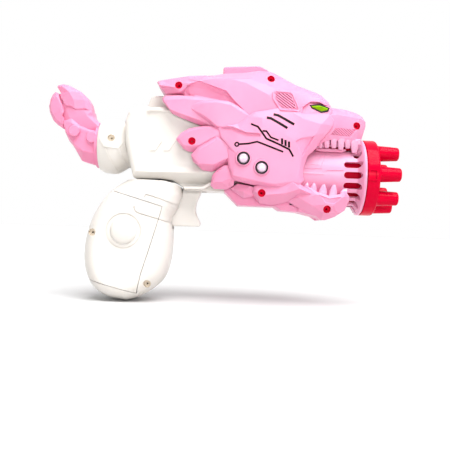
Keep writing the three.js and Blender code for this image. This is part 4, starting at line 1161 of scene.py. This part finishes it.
def turned_at(name, profile, depth, z, steps):
    """A turned piece about a line along X through a depth and a height."""
    piece = lathe(name, profile, (0, 0), steps=steps, closed=False)
    piece.data.transform(Matrix.Translation((0, -depth * MM, z * MM)))
    return piece


def make_nozzle():
    """The red ring, its front plate with seven tubes round a centre hole, and the snap window."""
    nozzle = lathe("nozzle_ring", NOZZLE_CUP, (0, AXIS_Z), steps=150)
    tubes, bores = [], []
    for i in range(TUBE_COUNT):
        turn = math.radians(TUBE_PHASE + 360 * i / TUBE_COUNT)
        depth, rise = TUBE_CIRCLE * math.cos(turn), TUBE_CIRCLE * math.sin(turn)
        tubes.append(turned_at(f"tube_{i}", TUBE, depth, AXIS_Z + rise, 48))
        bores.append(turned_at(f"bore_{i}", TUBE_BORE, depth, AXIS_Z + rise, 40))
    for tube in tubes:
        boolean(nozzle, tube, "UNION")
    removed(*tubes)
    centre = lathe("centre_bore", CENTRE_BORE, (0, AXIS_Z), steps=40, closed=False)
    carve(nozzle, centre, *bores)
    skin = Skin([nozzle])
    dressed(smooth(nozzle, 32), red, "nozzle", ["nozzle_head"])
    window = strip("nozzle_window", skin, WINDOW, 1.1, -0.4, 0.7, closed=True)
    dressed(smooth(window, 40), red, "nozzle")


make_barrel()
make_liner()
make_nozzle()


# ---- body, collar and grip ---------------------------------------------------------------------

BODY = [(-64.5, 84.6), (-46.7, 85), (-37.5, 84.2), (-30.5, 80.2), (-28.6, 77.4), (12, 77.8), (12, 134),
        (-62, 134), (-69, 130.5), (-71.5, 123), (-70.5, 108)]
FIN = [(-60, 131), (-55, 144.3), (-18, 144.3), (-10, 140), (-10, 131)]


def rounded(outline, radius, steps=5):
    """The outline with its corners rounded."""
    out = []
    n = len(outline)
    for i in range(n):
        a, b, c = (Vector(outline[(i + k) % n]) for k in (-1, 0, 1))
        r = min(radius, (a - b).length * 0.45, (c - b).length * 0.45)
        p, q = b + (a - b).normalized() * r, b + (c - b).normalized() * r
        for s in range(steps + 1):
            t = s / steps
            out.append(tuple(p.lerp(b, t).lerp(b.lerp(q, t), t)))
    return out


PANEL_OUTER = rounded([(-57.2, 131.6), (-57.2, 100), (-55.4, 91), (10, 91), (10, 131.6)], 3)
PANEL_INNER = rounded([(-55, 130), (-54.8, 98), (-53.2, 95), (10, 95.2), (10, 130)], 2)
BELLY_HIGH = [(-90, 60), (30, 60), (30, 91.2), (-90, 90.4)]
BELLY_LOW = [(-90, 60), (30, 60), (30, 82.6), (-90, 82)]
BODY_ROOM = [(-60, 93), (8, 93), (8, 130), (-60, 130), (-66, 122), (-65, 108)]
BODY_NECK = [(-58, 88), (-34, 87), (-28, 82), (8, 82), (8, 94), (-58, 94)]


def make_body():
    """The white body: a sunk panel on each side, a chamfered belly, a fin on top, hollow inside."""
    shell = pillow("body_shell", rounded(BODY, 1.5, 3), 22, 18, 4, 6)
    for side in (1, -1):
        panel = prism("panel_cut", PANEL_OUTER, side * 19.8, side * 22.2, PANEL_INNER)
        above = prism("panel_above", PANEL_OUTER, side * 22.19, side * 30)
        belly = prism("belly_cut", BELLY_HIGH, side * 13, side * 24, BELLY_LOW)
        carve(shell, panel, above, belly)
    fin = pillow("fin", rounded(FIN, 1.5, 3), 7, 5.5, 1.5, 4)
    boolean(shell, fin, "UNION")
    removed(fin)
    room = prism("body_room", BODY_ROOM, -17.8, 17.8)
    neck = prism("body_neck", BODY_NECK, -8.5, 8.5)
    return carve(shell, room, neck)


COLLAR_BOWL = [(15.8, -90.4), (16.6, -90.8), (17.2, -90.4), (18.4, -88.3), (19.1, -85.6), (19.4, -82.6),
               (19.4, -80.2), (19.1, -78.2), (18.2, -76), (16.8, -73.8), (15.4, -71.6), (14.7, -70.4),
               (14.6, -64), (12, -64), (12, -74), (15.8, -84)]
GRIP_BACK = [(-37.3, 52.5), (-37, 40), (-38.4, 26), (-43, 13.5), (-54.9, 3.7), (-66, -0.6), (-71, -0.6),
             (-81.5, 1.4), (-90.9, 7.5), (-96.6, 18), (-98.4, 30), (-97, 45), (-92, 60), (-84, 72.5),
             (-76.5, 79.3), (-64.5, 88), (-60, 100)]
GRIP_FRONT = [(-31.4, 100), (-31.4, 80), (-31, 74), (-32, 69.6), (-33.4, 65.6), (-35.6, 61.6),
              (-37.2, 58.4), (-37.9, 55.4)]
GRIP = catmull(GRIP_BACK, 6, closed=False) + catmull(GRIP_FRONT, 4, closed=False)
GRIP_TOP = [
    (-90, 84), (-60, 83.6), (-43, 83.2), (-35.4, 81.6), (-30, 78.8), (-20, 78.4), (-20, 130), (-90, 130)]
TRIGGER_SLOT = [(-14, 50), (-43.5, 50), (-43.5, 58), (-40, 72), (-34.5, 84), (-34.5, 91), (-14, 91)]


def make_grip():
    """The grip before it is split: hollow, and closed by a roof under the body."""
    solid = pillow("grip_solid", GRIP, 23, 6, 10, 12, dome=0.5)
    inside = pillow("grip_inner", inset(GRIP, 2.2), 20.8, 6, 9, 6)
    roof = [(x, z - 2) for x, z in GRIP_TOP]
    carve(inside, prism("grip_roof", roof, -30, 30))
    return carve(solid, inside, prism("grip_top", GRIP_TOP, -30, 30))


body = make_body()
collar = lathe("collar_shell", COLLAR_BOWL, (0, COLLAR_Z), steps=128)
grip = make_grip()
cut_through(prism("trigger_room", TRIGGER_SLOT, -6.4, 6.4), grip, body)
white_skin = Skin([grip, body, collar])

COVER_EDGE = [(-43.5, 65.3), (-47.2, 51.6), (-51.4, 36.8), (-56.6, 19.2), (-59.6, 5.4)]
COVER_REGION = COVER_EDGE + [(-106, 17), (-106, 83)]
COVER_GAP = [(-43.2, 65.6), (-46.9, 51.5), (-51.1, 36.7), (-56.3, 19.1), (-59.3, 5), (-106, 16.6),
             (-106, 83.3)]
BAND_UPPER = catmull([(-55.6, 71.2), (-55, 72.7), (-53.4, 73), (-45, 70.6), (-33.2, 66.6)], 4, closed=False)
BAND_LOWER = catmull([(-62.4, 65), (-62, 62.6), (-59.4, 60.4), (-48, 57.4), (-37.6, 54.2)], 4, closed=False)
HALF_PLANE = [(-120, -10), (30, -10), (30, 150), (-120, 150)]
SEAM_HALF = 0.08


def kept_inside(piece, name, outline, low, high):
    """A copy of the piece, kept only inside a prism."""
    part = object_from(name, piece.data.copy())
    tool = prism("split_tool", outline, low, high)
    boolean(part, tool, "INTERSECT")
    removed(tool)
    return part


left_grip = kept_inside(grip, "grip_left", HALF_PLANE, SEAM_HALF, 40)
right_grip = kept_inside(grip, "grip_right", HALF_PLANE, -40, -SEAM_HALF)
removed(grip)
cover = kept_inside(left_grip, "battery_cover_shell", COVER_REGION, 0.05, 40)
carve(left_grip, prism("cover_opening", COVER_GAP, 0.0, 40))
for band in (BAND_UPPER, BAND_LOWER):
    cut_through(strip("groove", white_skin, band, 0.65, -0.9, 4, taper=1.0), left_grip, cover)

DOME = (-69.2, 48)
DOME_RISE = [(9.2, -0.2), (8.9, 0.7), (8.2, 1.5), (6.8, 2.2), (4.6, 2.7), (2.3, 2.95), (0, 3)]
NUB = [(-99, 26.2), (-97, 25.6), (-96.4, 29.6), (-98.8, 30)]


def finish_cover():
    """The ring groove and the dome on the battery cover, and the nub at its back edge."""
    ring = circle(DOME, 11.7, 64)
    carve(cover, strip("dome_groove", white_skin, ring, 0.7, -0.6, 4, closed=True, taper=1.0))
    top = white_skin.depth(*DOME)
    profile = [(0, top - 2), (9.2, top - 2)] + [(radius, top + rise) for radius, rise in DOME_RISE]
    dome = lathe("cover_dome", profile, DOME, "Y", 64, closed=False)
    dressed(smooth(dome, 40), white, "cover")
    nub = pillow("cover_nub", rounded(NUB, 0.6), 4, 3, 1, 3, low=1)
    dressed(smooth(nub, 40), white, "cover")


finish_cover()
well("screw_tail", [collar], white_skin, well_beige, beige_screw)
well("screw_grip", [left_grip], white_skin, well_beige, beige_screw)
well("screw_cover", [cover], white_skin, well_beige, beige_screw, "cover")

WHITE_PARTS = (
    (body, "root", ["body_left"]), (collar, "root", []), (left_grip, "root", []),
    (right_grip, "root", ["body_right"]), (cover, "cover", ["battery_cover"]))
for piece, owner, nodes in WHITE_PARTS:
    dressed(smooth(piece, 35), white, owner, nodes)

RELIEF_LINES = {
    "collar": [
        [(-88.4, 111), (-85.6, 105.9), (-75.6, 105), (-73, 109)],
        [(-84.6, 104.4), (-82, 97), (-77.6, 89.6)],
        [(-75.4, 104.4), (-73.8, 98.6), (-70.9, 94.6)],
        [(-71.6, 108), (-71, 103)],
    ],
    "body": [
        [(-53.2, 104.3), (-49.8, 104.4), (-45.8, 110.6)],
        [(-43.9, 104.5), (-40.6, 104.6), (-36, 111.4)],
    ],
}
RAIL = [(-29.6, 79.9), (-16.4, 80.2), (-11, 83.6), (0, 83.8), (0, 82), (-10.4, 81.8), (-15.6, 78.4),
        (-29.2, 78.1)]


def add_relief():
    """The raised lines on the collar and the body, and the rail over the trigger."""
    for group, lines in RELIEF_LINES.items():
        for i, line in enumerate(lines):
            rib = strip(f"{group}_line_{i}_left", white_skin, line, 1.3, -0.6, 0.8)
            dressed_pair(rib, f"{group}_line_{i}_right", white)
    rail = prism("body_rail", RAIL, -20.6, 20.6)
    dressed(soften(rail, 0.4), white)


add_relief()


# ---- claw --------------------------------------------------------------------------------------

FINGER_UPPER = [
    (-122.6, 148.3, 6), (-121.8, 149.6, 5.5), (-118.4, 150.4, 5.5), (-114, 149.6, 5.5),
    (-105.5, 145.4, 5.5), (-101.2, 141.4, 5.5), (-98.6, 137.4, 5.5), (-97, 131, 6.5),
    (-101.5, 132.9, 9), (-108.5, 132.4, 9.4), (-111.6, 134.4, 9.4), (-115.4, 134.8, 9),
    (-119.4, 141, 8), (-119.6, 144, 7)]
FINGER_UPPER_RIDGES = [
    [(-122.6, 148.3, 6), (-118.4, 148, 8.6), (-113.6, 144.6, 9.6), (-109.8, 139, 10),
     (-108.5, 132.4, 9.4)],
    [(-118.4, 148, 8.6), (-114, 148.6, 7.6), (-106.2, 144.4, 7.8), (-101.6, 139, 8), (-100, 133, 8.4),
     (-101.5, 132.9, 9)],
]
FINGER_LOWER = [
    (-123.8, 144.8, 5), (-121.2, 143.6, 6), (-120.4, 140.2, 7), (-117, 133.6, 7.6), (-116.6, 130, 8),
    (-117.8, 128, 8), (-116, 124, 7), (-117, 118.6, 4.5), (-121.5, 121.4, 4), (-124.8, 124.4, 4),
    (-127.6, 130, 4), (-128.4, 134.6, 4), (-127.6, 139.6, 4), (-125.8, 143.2, 4.4)]
FINGER_LOWER_RIDGES = [
    [(-123.8, 144.8, 5), (-125.4, 140.6, 6.6), (-126.2, 135.6, 7.2), (-125.6, 130.6, 7.6),
     (-122.6, 125.6, 7.6), (-118, 121.6, 7.2), (-116, 124, 7)],
    [(-125.4, 140.6, 6.6), (-122.4, 141.2, 7.4), (-118.4, 134.4, 8.6), (-118.2, 129.6, 8.8),
     (-118, 121.6, 7.2)],
]
CLAW_PALM = [
    (-121, 143.4, 5.5), (-119, 144, 6), (-112, 136, 8), (-104, 134, 8.2), (-96.8, 132, 7),
    (-96, 128, 6), (-93.6, 125, 7), (-91, 123.6, 7), (-91.2, 116, 8), (-104, 118, 8), (-112, 121, 7),
    (-117.6, 119.2, 4.5)]
CLAW_PALM_RIDGES = [
    [(-119.5, 141.5, 6), (-116, 134, 7.6), (-108, 131, 8.8), (-100, 128, 9), (-91.2, 120.6, 9.4)],
    [(-108, 131, 8.8), (-112, 125, 9), (-112, 121, 7)],
]
CLAW_BASE = [
    (-117, 123.6, 8.5), (-111, 126, 9), (-108.6, 124, 9.4), (-104.4, 120.8, 10), (-99, 118.6, 10.6),
    (-91.1, 116.8, 11), (-91.1, 94.4, 5.5), (-95, 94.2, 5.5), (-103.4, 96.4, 5), (-106, 100.6, 4.5),
    (-110, 106.8, 4.5), (-113, 110.3, 4.5), (-115.8, 116, 5)]
CLAW_BASE_RIDGES = [
    [(-117, 123.6, 8.5), (-114.6, 117, 10.4), (-112, 112.4, 11), (-107.4, 106.4, 11.6),
     (-101.5, 102.6, 12.2), (-91.1, 101, 12.5)],
    [(-114.6, 117, 10.4), (-110.4, 122.4, 11), (-104, 118.6, 11.6), (-91.1, 114.6, 12.2)],
]
CLAW_PARTS = {
    "finger_upper": (FINGER_UPPER, FINGER_UPPER_RIDGES),
    "finger_lower": (FINGER_LOWER, FINGER_LOWER_RIDGES),
    "palm": (CLAW_PALM, CLAW_PALM_RIDGES),
    "base": (CLAW_BASE, CLAW_BASE_RIDGES),
}
STUDS = [(-107.6, 116.4), (-95.2, 112.4)]
STUD = [(0, 10), (4, 10), (4, 13.6), (3.5, 14.3), (0, 14.3)]
TANG = [(0, -93), (15.4, -93), (15.4, -85), (11, -85), (11, -90), (0, -90)]


def make_claw():
    """Two fingers, a palm and a base on each side, the studs, and the tang in the collar."""
    for name, (outline, ridges) in CLAW_PARTS.items():
        left = soften(faceted(f"claw_{name}_left", outline, ridges, 0.0), 0.6, 3, 10)
        dressed_pair(left, f"claw_{name}_right", claw_pink, 50)
    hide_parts("tail_claw")
    for i, place in enumerate(STUDS):
        stud = lathe(f"claw_stud_{i}_left", STUD, place, "Y", 48, closed=False)
        dressed_pair(stud, f"claw_stud_{i}_right", claw_pink, 35)
    tang = lathe("claw_tang", TANG, (0, COLLAR_Z), steps=64, closed=False)
    dressed(smooth(tang, 35), claw_pink)


make_claw()


# ---- trigger -----------------------------------------------------------------------------------

TRIGGER_FRONT = [(-18.6, 52.4), (-17.7, 55), (-20.2, 59.8), (-21.4, 65), (-20.4, 70.4), (-18.1, 76),
                 (-17.2, 81)]
TRIGGER_TOP = [(-17.2, 97), (-21.5, 97), (-22, 89), (-29, 88)]
TRIGGER_BACK = [(-30.6, 80), (-33, 72), (-36.6, 64.6), (-38.6, 60), (-38.6, 52.2)]
TRIGGER = catmull(TRIGGER_FRONT, 5, closed=False) + TRIGGER_TOP + catmull(TRIGGER_BACK, 4, closed=False)
TRIGGER_LIP = [(-23, 60), (-23.4, 66), (-22.6, 71), (-20.8, 76.6)]


def make_trigger():
    """The trigger with its pivot hole and the raised line along its face."""
    lever = pillow("trigger_lever", TRIGGER, 6, 4.8, 1.2, 4)
    carve(lever, bar("pin_hole", 1.8, -24, 83, -10, 10))
    lip = strip("trigger_lip", Skin([lever]), TRIGGER_LIP, 0.6, -0.3, 0.3)
    dressed(smooth(lever, 40), white, "trigger", ["trigger"])
    dressed(smooth(lip, 40), white, "trigger")


make_trigger()


# ---- pieces that keep their CAD shape ----------------------------------------------------------

CAD_FINISH = {
    "fan_duct": red_inside, "fan_impeller": red_inside, "motor_shaft": steel,
    "motor": can_steel, "motor_mount": white, "trigger_pin": steel, "trigger_spring": steel,
    "switch_body": bezel_black, "switch_plunger": red_inside, "battery_contact_upper": steel,
    "battery_contact_lower": steel, "wire_battery_switch": wire_red, "wire_switch_motor": wire_red,
    "wire_battery_motor": wire_black, "led_board_left": board, "led_board_right": board,
}
CAD_FINISH.update({f"battery_{i}": cell_green for i in range(1, 5)})
for node, material in CAD_FINISH.items():
    piece = frame["nodes"][node]
    piece.data.materials.clear()
    piece.data.materials.append(material)


# ---- studio ------------------------------------------------------------------------------------


def make_floor():
    grid = bmesh.new()
    bmesh.ops.create_grid(grid, x_segments=8, y_segments=8, size=4)
    floor = from_bmesh("floor", grid)
    floor.location.z = -0.0005
    floor.data.materials.append(floor_paint)


def light_object(name, light, turn):
    """Puts a light into the scene, turned by a quaternion."""
    lamp = bpy.data.objects.new(name, light)
    lamp.rotation_mode = "QUATERNION"
    lamp.rotation_quaternion = turn
    bpy.context.scene.collection.objects.link(lamp)
    return lamp


def area_light(name, place, target, width, height, power):
    light = bpy.data.lights.new(name, "AREA")
    light.shape = "RECTANGLE"
    light.size = width
    light.size_y = height
    light.energy = power
    facing = (Vector(target) - Vector(place)).to_track_quat("-Z", "Y")
    light_object(name, light, facing).location = place


def sun(name, toward, strength, spread_degrees):
    """Light from the direction `toward`; a wide spread makes it a soft box."""
    light = bpy.data.lights.new(name, "SUN")
    light.energy = strength
    light.angle = math.radians(spread_degrees)
    light_object(name, light, Vector(toward).to_track_quat("Z", "Y"))


def studio_world():
    """A white room that is brighter behind the gun than in front of it."""
    world = bpy.data.worlds.new("studio")
    world.use_nodes = True
    nodes, links = world.node_tree.nodes, world.node_tree.links
    direction = nodes.new("ShaderNodeTexCoord").outputs["Generated"]
    split_axes = nodes.new("ShaderNodeSeparateXYZ")
    links.new(direction, split_axes.inputs["Vector"])
    ranged = nodes.new("ShaderNodeMapRange")
    ranged.inputs["From Min"].default_value = -0.4
    ranged.inputs["From Max"].default_value = 0.6
    ranged.inputs["To Min"].default_value = 0.32
    ranged.inputs["To Max"].default_value = 1.0
    links.new(split_axes.outputs["Y"], ranged.inputs["Value"])
    background = nodes["Background"]
    background.inputs["Color"].default_value = (1, 1, 1, 1)
    links.new(ranged.outputs["Result"], background.inputs["Strength"])
    bpy.context.scene.world = world


CAMERA_Y = -0.45
CAMERA_HEIGHT = 54.3
CAMERA_ROLL = math.radians(2)


def make_camera():
    """A level 50 mm camera straight at the left side, rolled a little."""
    lens = bpy.data.cameras.new("camera")
    lens.lens = 50
    lens.sensor_width = 36
    camera = bpy.data.objects.new("camera", lens)
    camera.matrix_world = Matrix((
        (math.cos(CAMERA_ROLL), -math.sin(CAMERA_ROLL), 0, SHIFT_X * MM),
        (0, 0, -1, CAMERA_Y),
        (math.sin(CAMERA_ROLL), math.cos(CAMERA_ROLL), 0, (CAMERA_HEIGHT + SHIFT_Z) * MM),
        (0, 0, 0, 1),
    ))
    bpy.context.scene.collection.objects.link(camera)
    bpy.context.scene.camera = camera


make_floor()
sun("key", (0.27, -0.46, 0.95), 5.0, 50)
area_light("strip", (0.1, -0.95, 0.24), (0.08, 0, 0.1), 0.6, 0.03, 3)
studio_world()
bpy.context.scene.view_settings.view_transform = "Standard"
make_camera()
